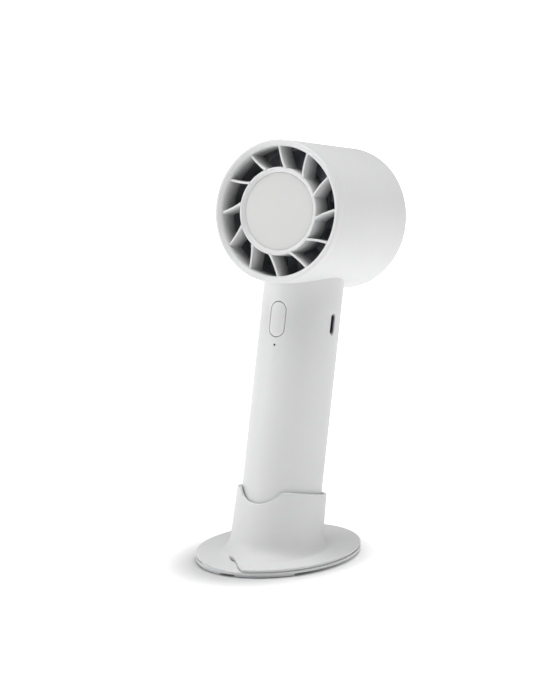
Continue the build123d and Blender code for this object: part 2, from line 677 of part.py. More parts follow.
def motor_leads():
    """Three leads from the motor behind a vane, down the duct and into the handle."""
    leads = []
    crossing = (IMPELLER_FRONT + SLEEVE_BACK) / 2 + 0.3
    gap_y = -(DUCT_R + DUCT_WALL + 0.4)
    board_end = BOARD_HIGH - HEAD_S + 0.5
    for x in (-1.0, 0.0, 1.0):
        start = Vector(x, -12.7, 21.4)
        path = [
            start, (x, -16.4, 21.4), (x, -17.0, crossing), (x, gap_y, crossing), (x, gap_y, 6.0),
            (x, board_end + 3, 0), (x * 1.6, board_end, -BOARD_FRONT - 0.5),
        ]
        leads.append(HEAD * tube_along(path, LEAD_R, 0.45))
    return Compound(leads)


NODES = {
    "stand_cover": stand_cover,
    "stand_base_plate": stand_base_plate,
    "rubber_feet": rubber_feet,
    "stand_screws": stand_screws,
    "handle_shell": handle_shell,
    "end_cap": end_cap,
    "end_cap_screws": end_cap_screws,
    "inner_frame": inner_frame,
    "battery_cell": battery_cell,
    "battery_tabs": battery_tabs,
    "battery_leads": battery_leads,
    "main_board": main_board,
    "board_screws": board_screws,
    "switch_board": switch_board,
    "board_pins": board_pins,
    "tact_switch": tact_switch,
    "tact_plunger": tact_plunger,
    "status_led": status_led,
    "led_light_pipe": led_light_pipe,
    "power_button": power_button,
    "usb_c_receptacle": usb_c_receptacle,
    "head_barrel": head_barrel,
    "front_grille": front_grille,
    "hub_cap": hub_cap,
    "duct_liner": duct_liner,
    "rear_grille": rear_grille,
    "impeller": impeller,
    "rotor_bell": rotor_bell,
    "magnet_ring": magnet_ring,
    "motor_shaft": motor_shaft,
    "shaft_clip": shaft_clip,
    "motor_bearings": motor_bearings,
    "motor_base": motor_base,
    "motor_screws": motor_screws,
    "stator_core": stator_core,
    "stator_coils": stator_coils,
    "motor_board": motor_board,
    "motor_leads": motor_leads,
}

os.makedirs("parts", exist_ok=True)
for node, build in NODES.items():
    save(build(), node)
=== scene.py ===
"""Handheld fan with a barrel head and guide vanes, leaning in its oval cradle stand.

Every size below is in millimetres and every finished mesh is in metres.
"""

import json
import logging
import math
from abc import ABC, abstractmethod
from dataclasses import dataclass
from enum import Enum
from typing import Callable, Sequence

import bmesh
import bpy
import numpy as np
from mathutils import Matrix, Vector


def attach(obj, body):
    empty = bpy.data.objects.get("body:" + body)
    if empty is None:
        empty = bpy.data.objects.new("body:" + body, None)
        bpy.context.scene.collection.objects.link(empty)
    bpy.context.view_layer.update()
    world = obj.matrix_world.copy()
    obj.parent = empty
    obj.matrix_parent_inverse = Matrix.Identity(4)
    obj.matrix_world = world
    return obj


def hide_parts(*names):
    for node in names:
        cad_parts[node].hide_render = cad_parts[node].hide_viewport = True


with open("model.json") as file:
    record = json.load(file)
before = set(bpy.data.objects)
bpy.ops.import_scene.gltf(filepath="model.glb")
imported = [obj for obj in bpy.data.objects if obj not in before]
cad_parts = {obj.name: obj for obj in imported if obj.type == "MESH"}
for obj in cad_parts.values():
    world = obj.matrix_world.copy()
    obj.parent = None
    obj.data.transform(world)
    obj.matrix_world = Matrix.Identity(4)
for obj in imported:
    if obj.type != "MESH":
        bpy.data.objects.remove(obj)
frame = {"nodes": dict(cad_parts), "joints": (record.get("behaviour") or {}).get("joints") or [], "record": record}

MM = 0.001
FULL_TURN = 2 * math.pi
ROUNDS = 40  # halvings, or steps, of a search for a height or an angle
Grid = np.ndarray
Pair = tuple[float, float]
Triple = tuple[float, float, float]
Piece = bpy.types.Object
Material = bpy.types.Material
Place = Callable[[Grid], Grid]
Socket = bpy.types.NodeSocket
log = logging.getLogger("handheld_fan")


# ---- where things are ----
@dataclass(frozen=True)
class Layout:
    """The lean of the fan in its stand, read from the impeller's joint.

    Fan coordinates are (across, backwards, up the handle).  Head coordinates are
    (across, up the handle from the head's axis, forwards along the air stream).
    """

    sine: float
    cosine: float
    foot_y: float
    head_s: float

    @classmethod
    def from_joints(cls, joints: Sequence[dict]) -> "Layout":
        """Works out the lean from the spinning joint.

        Args:
            joints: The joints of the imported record.

        Returns:
            The layout of the fan in the row frame.
        """
        spin = next(joint for joint in joints if joint["name"] == "impeller_spin")
        _, back, height = (value / MM for value in spin["pos_m"])
        sine, cosine = spin["axis"][2], -spin["axis"][1]
        head_s = height / cosine
        return cls(sine, cosine, back - head_s * sine, head_s)

    def fan(self, points: Grid) -> Grid:
        """Fan coordinates turned into the row frame: the handle leans back by the tilt."""
        x, y, s = np.moveaxis(points, -1, 0)
        back = self.foot_y + y * self.cosine + s * self.sine
        return np.stack([x, back, s * self.cosine - y * self.sine], -1)

    def to_fan(self, points: Grid) -> Grid:
        """Row frame turned into fan coordinates, the reverse of fan()."""
        x, y, z = np.moveaxis(points, -1, 0)
        y = y - self.foot_y
        return np.stack([x, y * self.cosine - z * self.sine, y * self.sine + z * self.cosine], -1)

    def head(self, points: Grid) -> Grid:
        """Head coordinates turned into the row frame."""
        x, up, forward = np.moveaxis(points, -1, 0)
        return self.fan(np.stack([x, -forward, self.head_s + up], -1))


def as_is(points: Grid) -> Grid:
    """Points that are in the row frame already."""
    return points


# ---- surfaces ----
class Skin:
    """A closed surface put together from grids of points that share their edges."""

    WELD = 2e-4  # points closer than this, in millimetres, become one
    SHARP = math.radians(38)  # edges that turn more than this stay sharp

    def __init__(self, place: Place = as_is) -> None:
        """Starts an empty skin.

        Args:
            place: Turns the grids' own coordinates into the row frame.
        """
        self._place = place
        self._points: list[Grid] = []
        self._faces: list[Grid] = []
        self._count = 0

    def add(self, grid: Grid, around: bool = False, keep: Grid | None = None) -> None:
        """Adds a grid: the corners of each cell (i, j) are its four neighbouring points.

        Args:
            grid: Rows by columns by three coordinates.
            around: Whether the last column joins the first.
            keep: Which cells are made, or None for all of them.
        """
        rows, columns = grid.shape[:2]
        index = self._count + np.arange(rows * columns).reshape(rows, columns)
        if around:
            index = np.hstack([index, index[:, :1]])
        cells = np.stack([index[:-1, :-1], index[:-1, 1:], index[1:, 1:], index[1:, :-1]], -1)
        self._faces.append(cells[keep] if keep is not None else cells.reshape(-1, 4))
        self._points.append(self._place(grid).reshape(-1, 3))
        self._count += rows * columns

    def piece(self, name: str) -> Piece:
        """Welds the grids and turns every face outwards.

        Args:
            name: Name of the piece.

        Returns:
            The new object, at the origin, with its place in its mesh.
        """
        mesh = bpy.data.meshes.new(name)
        points = np.vstack(self._points) * MM
        mesh.from_pydata(points.tolist(), [], np.vstack(self._faces).tolist())
        work = bmesh.new()
        work.from_mesh(mesh)
        bmesh.ops.remove_doubles(work, verts=work.verts, dist=self.WELD * MM)
        bmesh.ops.recalc_face_normals(work, faces=work.faces)
        gaps = sum(1 for edge in work.edges if not edge.is_manifold)
        work.to_mesh(mesh)
        work.free()
        mesh.shade_smooth()
        mesh.set_sharp_from_angle(angle=self.SHARP)
        piece = bpy.data.objects.new(name, mesh)
        bpy.context.scene.collection.objects.link(piece)
        log.info("%s: %d faces, %d open edges", name, len(mesh.polygons), gaps)
        return piece


def whole(name: str, place: Place, *grids: Grid) -> Piece:
    """Piece welded from grids whose last columns all join their first."""
    skin = Skin(place)
    for grid in grids:
        skin.add(grid, around=True)
    return skin.piece(name)


def rounded(corners: Sequence[Pair], radii: Sequence[float] | float,
            closed: bool = False, steps: int = 5) -> Grid:
    """Outline with rounded corners.

    Each corner gives way to an arc that touches both of its sides: it starts at
    radius / tan(half the corner's angle) from the corner, and never past half a side.

    Args:
        corners: The corners of the outline.
        radii: One radius for each corner, or one for all.
        closed: Whether the last corner joins the first.
        steps: Spans of each arc.

    Returns:
        Points of the outline, the first one repeated at the end if it is closed.
    """
    points = np.asarray(corners, float)
    sizes = np.broadcast_to(np.asarray(radii, float), (len(points),)).copy()
    if not closed:
        sizes[[0, -1]] = 0
    share = np.linspace(0, 1, steps + 1)[:, None]
    runs = []
    for number, corner in enumerate(points):
        before = points[number - 1] - corner
        after = points[(number + 1) % len(points)] - corner
        spans = np.linalg.norm(before), np.linalg.norm(after)
        if sizes[number] <= 0 or min(spans) == 0:
            runs.append(corner[None])
            continue
        one, other = before / spans[0], after / spans[1]
        half = math.acos(float(np.clip(one @ other, -1, 1))) / 2
        reach = min(sizes[number] / math.tan(half), 0.49 * min(spans))
        bend = math.pi - 2 * half
        if bend < 1e-3:
            runs.append(corner[None])
            continue
        radius = reach * math.tan(half)
        middle = corner + (one + other) / np.linalg.norm(one + other) * radius / math.sin(half)
        start, end = corner + one * reach - middle, corner + other * reach - middle
        arc = (np.sin((1 - share) * bend) * start + np.sin(share * bend) * end) / math.sin(bend)
        runs.append(middle + arc)
    outline = np.vstack(runs)
    return np.vstack([outline, outline[:1]]) if closed else outline


def turned(profile: Grid, segments: int = 192) -> Grid:
    """Surface turned about the head's axis: (radius sin angle, radius cos angle, forward)."""
    angle = FULL_TURN * np.arange(segments) / segments
    radius, forward = profile[:, :1], profile[:, 1:2]
    return np.stack([radius * np.sin(angle), radius * np.cos(angle), forward + 0 * angle], -1)


def clamped_curve(points: Sequence[Pair], start: Pair, end: Pair, samples: int) -> Grid:
    """Smooth curve through points with given directions at its ends.

    It is the piecewise cubic with continuous curvature over the chord length, whose
    first and last slopes are the given directions.

    Args:
        points: The points that it passes.
        start: Direction at the first point.
        end: Direction at the last point.
        samples: How many points come back.

    Returns:
        Points along the curve.
    """
    knots = np.asarray(points, float)
    chord = np.linalg.norm(np.diff(knots, axis=0), axis=1)
    at = np.concatenate([[0], np.cumsum(chord)])
    count = len(knots)
    matrix, target = np.eye(count), np.zeros((count, 2))
    target[0], target[-1] = start, end
    for row in range(1, count - 1):
        one, other = chord[row - 1], chord[row]
        matrix[row, row - 1:row + 2] = other, 2 * (one + other), one
        target[row] = 3 * (other / one * (knots[row] - knots[row - 1])
                           + one / other * (knots[row + 1] - knots[row]))
    slopes = np.linalg.solve(matrix, target)
    where = np.linspace(0, at[-1], samples)
    span = np.clip(np.searchsorted(at, where, side="right") - 1, 0, count - 2)
    length = chord[span][:, None]
    t = (where - at[span])[:, None] / length
    return ((2 * t**3 - 3 * t**2 + 1) * knots[span] + (t**3 - 2 * t**2 + t) * length * slopes[span]
            + (3 * t**2 - 2 * t**3) * knots[span + 1] + (t**3 - t**2) * length * slopes[span + 1])


def carried(path: Grid, across: Grid, up: Grid, section: Grid) -> Grid:
    """Section carried along a path: point + first * across + second * up, ends closed.

    Args:
        path: Points along the path.
        across: Direction of the section's first coordinate at each point.
        up: Direction of its second coordinate.
        section: Closed outline, one for all points or one for each.

    Returns:
        Grid of points whose first and last rows are poles.
    """
    section = np.broadcast_to(section, (len(path),) + section.shape[-2:])
    body = (path[:, None] + section[..., :1] * across[:, None] + section[..., 1:] * up[:, None])
    first = np.broadcast_to(body[:1].mean(1, keepdims=True), body[:1].shape)
    last = np.broadcast_to(body[-1:].mean(1, keepdims=True), body[-1:].shape)
    return np.concatenate([first, body, last])


def quarter(points: int) -> Grid:
    """Quarter circle as (inset, drop), from (0, 1) on a side to (1, 0) on a face."""
    turn = np.linspace(0, math.pi / 2, points)
    return np.stack([1 - np.cos(turn), 1 - np.sin(turn)], -1)


def soft_box(width: float, height: float, radius: float) -> Grid:
    """Closed outline of a rectangle with rounded corners about its centre."""
    x, y = width / 2, height / 2
    return rounded([(-x, -y), (x, -y), (x, y), (-x, y)], radius, closed=True, steps=4)


# ---- finishes ----
class Recipe:
    """Short hand for the nodes of one material, which read Object coordinates."""

    WAVE = 0.314  # scale of the wave pattern whose stripes lie one unit apart

    def __init__(self, name: str) -> None:
        """Starts a material with one shader.

        Args:
            name: Name of the material.
        """
        self.material = bpy.data.materials.new(name)
        self.material.use_nodes = True
        self._tree = self.material.node_tree
        self.shader = next(n for n in self._tree.nodes if n.type == "BSDF_PRINCIPLED")
        self._where = self._tree.nodes.new("ShaderNodeTexCoord").outputs["Object"]

    def _fill(self, node: bpy.types.Node, label: str | int, value: object) -> None:
        """Sets a uniform value, or joins a pattern, on one of a node's sockets."""
        if isinstance(value, bpy.types.NodeSocket):
            self._tree.links.new(value, node.inputs[label])
        else:
            node.inputs[label].default_value = value

    def set(self, label: str, value: object) -> None:
        """Fills one of the shader's sockets."""
        self._fill(self.shader, label, value)

    def _node(self, kind: str, inputs: dict[str | int, object], operation: str = "") -> bpy.types.Node:
        """Makes a node and fills its sockets."""
        node = self._tree.nodes.new(kind)
        if operation:
            node.operation = operation
        for label, value in inputs.items():
            self._fill(node, label, value)
        return node

    def spot(self, stretch: Triple = (1, 1, 1), turn: Triple = (0, 0, 0),
             shift: Triple = (0, 0, 0)) -> Socket:
        """Object coordinates stretched, turned and shifted."""
        inputs = {"Vector": self._where, "Scale": stretch, "Rotation": turn, "Location": shift}
        return self._node("ShaderNodeMapping", inputs).outputs[0]

    def noise(self, pitch: float, detail: float = 2.0, at: Socket | None = None) -> Socket:
        """Cloudy pattern whose features are about pitch millimetres apart."""
        inputs = {"Vector": at or self._where, "Scale": 1 / (pitch * MM), "Detail": detail}
        return self._node("ShaderNodeTexNoise", inputs).outputs[0]

    def cells(self, pitch: float) -> Socket:
        """Distance pattern of cells about pitch millimetres apart."""
        inputs = {"Vector": self._where, "Scale": 1 / (pitch * MM)}
        return self._node("ShaderNodeTexVoronoi", inputs).outputs[0]

    def bands(self, pitch: float, at: Socket, wobble: float) -> Socket:
        """Stripes across X of the coordinates, pitch millimetres apart."""
        inputs = {"Vector": at, "Scale": self.WAVE / (pitch * MM), "Distortion": wobble}
        return self._node("ShaderNodeTexWave", inputs).outputs["Fac"]

    def distance(self, stretch: Triple, shift: Triple) -> Socket:
        """Length of the position in millimetres, times the stretch and plus the shift."""
        place = self.spot(tuple(value / MM for value in stretch), shift=shift)
        return self._node("ShaderNodeVectorMath", {0: place}, "LENGTH").outputs["Value"]

    def along(self, axis: Triple) -> Socket:
        """Distance from the origin along an axis, in millimetres."""
        inputs = {0: self._where, 1: tuple(value / MM for value in axis)}
        return self._node("ShaderNodeVectorMath", inputs, "DOT_PRODUCT").outputs["Value"]

    def total(self, one: Socket, other: Socket) -> Socket:
        """Sum of two patterns."""
        return self._node("ShaderNodeMath", {0: one, 1: other}, "ADD").outputs[0]

    def spread(self, source: Socket, low: float, high: float, span: Pair = (0.25, 0.75)) -> Socket:
        """Pattern brought into the range low to high."""
        inputs = {"Value": source, "From Min": span[0], "From Max": span[1], "To Min": low, "To Max": high}
        return self._node("ShaderNodeMapRange", inputs).outputs[0]

    def mixed(self, share: Socket, one: Sequence[float], other: Sequence[float]) -> Socket:
        """Colour that goes from one to other with the pattern."""
        ramp = self._node("ShaderNodeValToRGB", {"Fac": share})
        ramp.color_ramp.elements[0].color = (*one, 1)
        ramp.color_ramp.elements[1].color = (*other, 1)
        return ramp.outputs[0]

    def relief(self, height: Socket, depth: float, under: Socket | None = None) -> Socket:
        """Bump of a pattern, depth millimetres high, over another bump."""
        inputs = {"Height": height, "Distance": depth * MM, "Strength": 1.0}
        if under is not None:
            inputs["Normal"] = under
        return self._node("ShaderNodeBump", inputs).outputs[0]


def shade(colour: Sequence[float], factor: float) -> tuple[float, ...]:
    """Colour made lighter or darker."""
    return tuple(min(1.0, value * factor) for value in colour)


@dataclass(frozen=True)
class Finish(ABC):
    """Surface of one colour and roughness, worked up with patterns."""

    colour: Triple
    rough: float = 0.46

    def make(self, name: str) -> Material:
        """Builds the material under a name."""
        recipe = Recipe(name)
        self.paint(recipe)
        return recipe.material

    @abstractmethod
    def paint(self, recipe: Recipe) -> None:
        """Joins the patterns to the shader."""

    def tones(self, recipe: Recipe, pattern: Socket, low: float, high: float) -> None:
        """Takes the base colour from low to high times the finish's own along a pattern."""
        recipe.set("Base Color", recipe.mixed(pattern, shade(self.colour, low), shade(self.colour, high)))

    def gloss(self, recipe: Recipe, pattern: Socket, less: float, more: float) -> None:
        """Takes the roughness from a little less to a little more than the finish's own."""
        recipe.set("Roughness", recipe.spread(pattern, self.rough - less, self.rough + more))


@dataclass(frozen=True)
class Moulded(Finish):
    """Injection-moulded plastic with a fine sparked texture and faint flow clouds."""

    pitch: float = 0.34
    depth: float = 0.006
    clouds: float = 0.012

    def paint(self, recipe: Recipe) -> None:
        """Clouds for the tone, grain for the gloss, and both for the relief."""
        self.tones(recipe, recipe.spread(recipe.noise(21.0, 3.0), 0, 1), 1 - self.clouds, 1 + self.clouds)
        grain = recipe.noise(self.pitch, 3.0)
        self.gloss(recipe, grain, 0.05, 0.05)
        broad = recipe.relief(recipe.noise(6.5, 1.0), self.depth * 1.6)
        recipe.set("Normal", recipe.relief(grain, self.depth, broad))


@dataclass(frozen=True)
class ChannelPlastic(Finish):
    """The shell's plastic inside the air channel, with painted shade that greys it further back along the air
    stream.
    """

    rough: float = 0.5
    axis: Triple = (0.0, -1.0, 0.0)
    span: Pair = (0.0, 1.0)
    # Share of the colour left where the painted shade is darkest.
    deep: float = 0.42

    def paint(self, recipe: Recipe) -> None:
        """Painted shade: the tone darkens with the distance back along the air stream."""
        depth = recipe.spread(recipe.along(self.axis), 0, 1, self.span)
        # Faint random noise that breaks up the edge of the painted shade.
        dust = recipe.spread(recipe.noise(5.0, 4.0), -0.03, 0.03)
        self.tones(recipe, recipe.total(depth, dust), self.deep, 1)
        grain = recipe.noise(0.34, 3.0)
        self.gloss(recipe, grain, 0.05, 0.06)
        recipe.set("Normal", recipe.relief(grain, 0.006))


@dataclass(frozen=True)
class Rubber(Finish):
    """Matte rubber with fine pits and handling dust."""

    rough: float = 0.82

    def paint(self, recipe: Recipe) -> None:
        """Dust for the tone and small cells for the pits."""
        self.tones(recipe, recipe.spread(recipe.noise(2.6, 5.0), 0, 1, (0.35, 0.7)), 0.93, 1.07)
        self.gloss(recipe, recipe.noise(0.8, 3.0), 0.08, 0.06)
        recipe.set("Normal", recipe.relief(recipe.cells(0.22), 0.012))
        recipe.set("Specular IOR Level", 0.35)


@dataclass(frozen=True)
class Metal(Finish):
    """Worked metal: fine lines along one direction, stains and small scratches."""

    lines: Triple = (1, 1, 12)

    def paint(self, recipe: Recipe) -> None:
        """Stains for the tone and stretched noise for the lines."""
        self.tones(recipe, recipe.spread(recipe.noise(3.5, 4.0), 0, 1), 0.92, 1.05)
        recipe.set("Metallic", 1.0)
        lines = recipe.noise(0.9, 4.0, recipe.spot(self.lines))
        self.gloss(recipe, lines, 0.08, 0.1)
        recipe.set("Normal", recipe.relief(lines, 0.002))


@dataclass(frozen=True)
class Windings(Finish):
    """Enamelled wire laid side by side, or sheets stacked, as fine ridges."""

    rough: float = 0.35
    pitch: float = 0.36
    turn: Triple = (0, 0, 0)

    def paint(self, recipe: Recipe) -> None:
        """Stripes for the ridges and for the tone, which is darker in the valleys: painted shade between the
        wires, and dark joints between the stacked sheets.
        """
        ridge = recipe.bands(self.pitch, recipe.spot(turn=self.turn), 0.4)
        self.tones(recipe, ridge, 0.55, 1.1)
        recipe.set("Metallic", 1.0)
        self.gloss(recipe, recipe.noise(1.2, 3.0), 0.06, 0.12)
        recipe.set("Normal", recipe.relief(ridge, 0.05))


@dataclass(frozen=True)
class SolderMask(Finish):
    """Circuit board lacquer over copper tracks."""

    rough: float = 0.35

    def paint(self, recipe: Recipe) -> None:
        """Cells for the tracks under a clear coat."""
        tracks = recipe.spread(recipe.cells(1.7), 0, 1, (0.3, 0.36))
        self.tones(recipe, tracks, 1.7, 1)
        self.gloss(recipe, recipe.noise(0.6, 3.0), 0.07, 0.07)
        recipe.set("Normal", recipe.relief(tracks, 0.03))
        recipe.set("Coat Weight", 0.3)


@dataclass(frozen=True)
class Film(Finish):
    """Glossy shrink film or moulded clear plastic, with soft waves."""

    clear: float = 0.0

    def paint(self, recipe: Recipe) -> None:
        """Soft clouds for the tone and broad waves for the relief."""
        self.tones(recipe, recipe.spread(recipe.noise(5.0, 2.0), 0, 1), 0.94, 1.05)
        self.gloss(recipe, recipe.noise(1.5, 3.0), 0, 0.1)
        recipe.set("Normal", recipe.relief(recipe.noise(4.0, 1.0), 0.03))
        recipe.set("Transmission Weight", self.clear)


class Slot(Enum):
    """The record's material slots, each with the finish that it gets."""

    WHITE_SHELL = Moulded((0.715, 0.717, 0.721))
    HUB_DISC = Moulded((0.655, 0.657, 0.65), 0.42, 0.3, 0.004)
    BUTTON_CAP = Moulded((0.715, 0.717, 0.721), 0.4, 0.3, 0.004)
    DARK_IMPELLER = Moulded((0.17, 0.18, 0.205), 0.4, 0.4, 0.006, 0.06)
    FOOT_RUBBER = Rubber((0.76, 0.77, 0.78))
    SCREW_STEEL = Metal((0.55, 0.55, 0.57), 0.3)
    SHAFT_STEEL = Metal((0.7, 0.7, 0.72), 0.2, (12, 1, 1))
    FRAME_PLASTIC = Moulded((0.20, 0.205, 0.22), 0.55, 0.5, 0.01, 0.04)
    CELL_WRAP = Film((0.03, 0.16, 0.34), 0.22)
    NICKEL = Metal((0.72, 0.7, 0.66), 0.26)
    CIRCUIT_BOARD = SolderMask((0.015, 0.11, 0.06))
    GOLD_PINS = Metal((0.85, 0.62, 0.28), 0.24)
    SWITCH_BLACK = Moulded((0.03, 0.03, 0.035), 0.5, 0.3, 0.005, 0.05)
    LAMP = Film((0.9, 0.88, 0.7), 0.15)
    CLEAR_PIPE = Film((0.10, 0.11, 0.12), 0.12, 0.35)
    PORT_STEEL = Metal((0.42, 0.42, 0.44), 0.34, (12, 1, 1))
    MAGNET = Metal((0.16, 0.16, 0.17), 0.5)
    BELL_STEEL = Metal((0.6, 0.6, 0.62), 0.3)
    LAMINATIONS = Windings((0.3, 0.3, 0.32), 0.45, 0.5, (0, 0, math.radians(90)))
    COPPER = Windings((0.72, 0.3, 0.14))
    LEAD_INSULATION = Rubber((0.06, 0.06, 0.065), 0.55)

    @property
    def label(self) -> str:
        """The slot's name in the record."""
        return self.name.lower()

    def material(self) -> Material:
        """The slot's material, made once."""
        name = f"finish_{self.label}"
        return bpy.data.materials.get(name) or self.value.make(name)


def settle(piece: Piece, body: str, slot: Slot, *nodes: str) -> Piece:
    """Dresses a finished piece and ties it to its body.

    Args:
        piece: The new piece.
        body: The CAD body that it moves with.
        slot: Its material slot.
        nodes: The CAD nodes that it stands for.

    Returns:
        The same piece.
    """
    piece.data.materials.append(slot.material())
    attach(piece, body)
    if nodes:
        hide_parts(*nodes)
    return piece


# ---- screws ----
@dataclass(frozen=True)
class CrossScrew:
    """Small pan-head screw with a cross recess, its head facing against its third axis."""

    head_r: float = 1.8
    head_h: float = 0.9
    shank_r: float = 0.88
    length: float = 4.6
    arm_half: float = 0.24
    arm_reach: float = 1.1
    recess: float = 0.5
    columns: int = 96

    def grid(self) -> Grid:
        """Turned profile with its face sunk along two crossed arms.

        The sink is recess * ramp(arm_half - smaller of |x| and |y|) * ramp(arm_reach - radius).

        Returns:
            Grid in (across, along, depth) coordinates with its face at depth 0.
        """
        face = np.stack([np.linspace(0, self.head_r - 0.35, 22), np.zeros(22)], -1)
        rest = rounded(
            [(self.head_r - 0.35, 0), (self.head_r, 0), (self.head_r, self.head_h),
             (self.shank_r, self.head_h), (self.shank_r, self.length - 0.5), (0, self.length)],
            [0, 0.3, 0.08, 0.1, 0.1, 0])
        profile = np.vstack([face, rest[1:]])
        angle = FULL_TURN * np.arange(self.columns) / self.columns
        x, y = profile[:, :1] * np.sin(angle), profile[:, :1] * np.cos(angle)
        depth = profile[:, 1:] + 0 * angle
        arm = np.clip((self.arm_half + 0.1 - np.minimum(abs(x), abs(y))) / 0.2, 0, 1)
        end = np.clip((self.arm_reach + 0.1 - profile[:, :1]) / 0.3, 0, 1)
        sink = self.recess * arm * end * (depth < 0.01)
        return np.stack([x, y, depth + sink], -1)


# ---- stand ----
@dataclass(frozen=True)
class Stand:
    """Oval base with its flared socket, the thumb scoop, the front notch and four feet."""

    layout: Layout
    half_x: float = 33.7
    half_y: float = 44.65
    top: float = 4.0
    skirt: float = 3.3
    low: float = 2.45
    reveal: float = 0.8
    rim_round: float = 0.45
    tube_x: float = 19.7
    tube_y: float = 22.95
    taper: float = 0.028
    flare_top: float = 10.5
    spread: Triple = (3.2, 6.8, 3.5)
    rim_s: float = 30.2
    floor_s: float = 8.2
    bore_x: float = 17.4
    bore_y: float = 20.65
    lip_round: float = 0.55
    scoop_low: float = 23.8
    scoop_r: float = 12.7
    scoop_corner: float = 2.2
    eye_y: float = -2.4
    notch_right: tuple[Pair, ...] = (
        (9.6, -45.4), (6.8, -42.6), (3.6, -39.8), (0.9, -36.4), (-1.8, -32.9), (-4.6, -29.9), (-8.0, -28.2))
    notch_left: tuple[Pair, ...] = (
        (-17.6, -46.0), (-15.9, -41.2), (-13.3, -35.2), (-11.0, -30.6), (-8.0, -28.2))
    notch_round: float = 0.06
    corner_soft: float = 0.45
    ramp_grid: tuple[int, int] = (48, 28)
    ramp_crowd: float = 1.6
    ramp_ease: float = 14.0
    ramp_gap: float = 0.04
    ramp_sunk: float = 0.1
    foot_h: float = 1.3
    foot_band: Pair = (0.84, 0.98)
    foot_span: Pair = (5.2, 51.0)
    foot_rows: int = 40
    foot_ends: float = 24.0
    foot_pinch: float = 0.75
    foot_corner: float = 0.42
    screw_x: Pair = (-15.5, 15.5)
    screw_y: Pair = (-10.7, 12.3)
    screw_lift: float = 0.05
    columns: int = 720

    def section(self, height: Grid | float) -> tuple[Grid, Grid, Grid]:
        """Horizontal oval of the socket's tube at a height.

        Half width is the tube's less its taper; the middle leans back with the handle, and
        half the depth is the tube's over cos(lean).

        Args:
            height: Height above the floor.

        Returns:
            Half width, middle and half depth of the oval.
        """
        loss = self.taper * (height - self.flare_top)
        middle = self.layout.foot_y + height * self.layout.sine / self.layout.cosine
        return self.tube_x - loss, middle, (self.tube_y - loss) / self.layout.cosine

    def tube(self, turn: Grid, height: Grid) -> Grid:
        """Points of the tube: (half width * sin, middle - half depth * cos, height)."""
        half_x, middle, half_y = self.section(height)
        return np.stack([half_x * np.sin(turn), middle - half_y * np.cos(turn), height], -1)

    def rise(self, angle: Grid) -> Grid:
        """Height of the flare at its angle: foot + (top - foot) * (1 - cos angle)."""
        return self.top + (self.flare_top - self.top) * (1 - np.cos(angle))

    def walls(self) -> tuple[Grid, Grid]:
        """Right and left wall of the notch in plan, each from the mouth to the notch's end."""
        right = clamped_curve(self.notch_right, (-0.7, 0.7), (-1, 0), 1500)
        left = clamped_curve(self.notch_left, (0.35, 0.95), (1, 0), 1500)
        return tuple(wall[np.hypot(wall[:, 0] / self.half_x, wall[:, 1] / self.half_y) < 1]
                     for wall in (right, left))

    def outline(self) -> tuple[Grid, Grid, Grid]:
        """Plan of the cover: the oval with the bell-shaped notch, its corners eased.

        The outline is sampled evenly by its length and smoothed by a narrow bell curve.

        Returns:
            Points, outward normals, and how much each point belongs to the left wall.
        """
        right, left = self.walls()
        ends = [math.atan2(wall[0, 0] / self.half_x, -wall[0, 1] / self.half_y) for wall in (right, left)]
        turn = np.linspace(ends[0], FULL_TURN + ends[1], 6000)
        oval = np.stack([self.half_x * np.sin(turn), -self.half_y * np.cos(turn)], -1)
        loop = np.vstack([right[::-1], oval, left])
        inside = np.concatenate([np.zeros(len(right) + len(oval)), np.ones(len(left))])
        length = np.concatenate([[0], np.cumsum(np.linalg.norm(np.diff(loop, axis=0), axis=1))])
        where = length[-1] * np.arange(self.columns) / self.columns
        even = np.stack([np.interp(where, length, column) for column in (*loop.T, inside)], -1)
        wave = np.fft.fftfreq(self.columns, length[-1] / self.columns)
        soften = np.exp(-0.5 * (FULL_TURN * wave * self.corner_soft) ** 2)[:, None]
        even = np.fft.ifft(np.fft.fft(even, axis=0) * soften, axis=0).real
        points, inside = even[:, :2], np.clip(even[:, 2], 0, 1)
        along = np.roll(points, -1, 0) - np.roll(points, 1, 0)
        along /= np.linalg.norm(along, axis=1, keepdims=True)
        return points, np.stack([along[:, 1], -along[:, 0]], -1), inside

    def reach(self, angle: Grid, ray: Grid) -> Grid:
        """Distance from the eye of the plan to the flare along each ray.

        It is the positive root of the quadratic that puts the ray's point on the tube's
        oval, plus the flare's spread times 1 - sin(angle).  The spread is the side's,
        with lobes to the front and the rear as the square of cos(heading).

        Args:
            angle: Flare angle of each ray, from 0 at its foot to a right angle at its top.
            ray: Unit directions in the plan.

        Returns:
            The distances.
        """
        half_x, middle, half_y = self.section(self.rise(angle))
        a = (ray[:, 0] / half_x) ** 2 + (ray[:, 1] / half_y) ** 2
        b = 2 * ray[:, 1] * (self.eye_y - middle) / half_y**2
        c = ((self.eye_y - middle) / half_y) ** 2 - 1
        side, front, rear = self.spread
        forward, back = np.maximum(-ray[:, 1], 0) ** 2, np.maximum(ray[:, 1], 0) ** 2
        spread = side + (front - side) * forward + (rear - side) * back
        return (-b + np.sqrt(b**2 - 4 * a * c)) / (2 * a) + spread * (1 - np.sin(angle))

    def meeting(self, plan: Grid) -> tuple[Grid, Grid, Grid]:
        """Where rays from the plan's eye through given points meet the flare.

        Args:
            plan: Points in the plan.

        Returns:
            Unit rays, distances of the points, and flare angles there, zero beyond the foot.
        """
        ray = plan - (0, self.eye_y)
        far = np.linalg.norm(ray, axis=1)
        ray /= far[:, None]
        low, high = np.zeros(len(far)), np.full(len(far), math.pi / 2)
        for _ in range(ROUNDS):
            middle = (low + high) / 2
            over = self.reach(middle, ray) > far
            low, high = np.where(over, middle, low), np.where(over, high, middle)
        return ray, far, np.where(far < self.reach(np.zeros(len(far)), ray), low, 0)

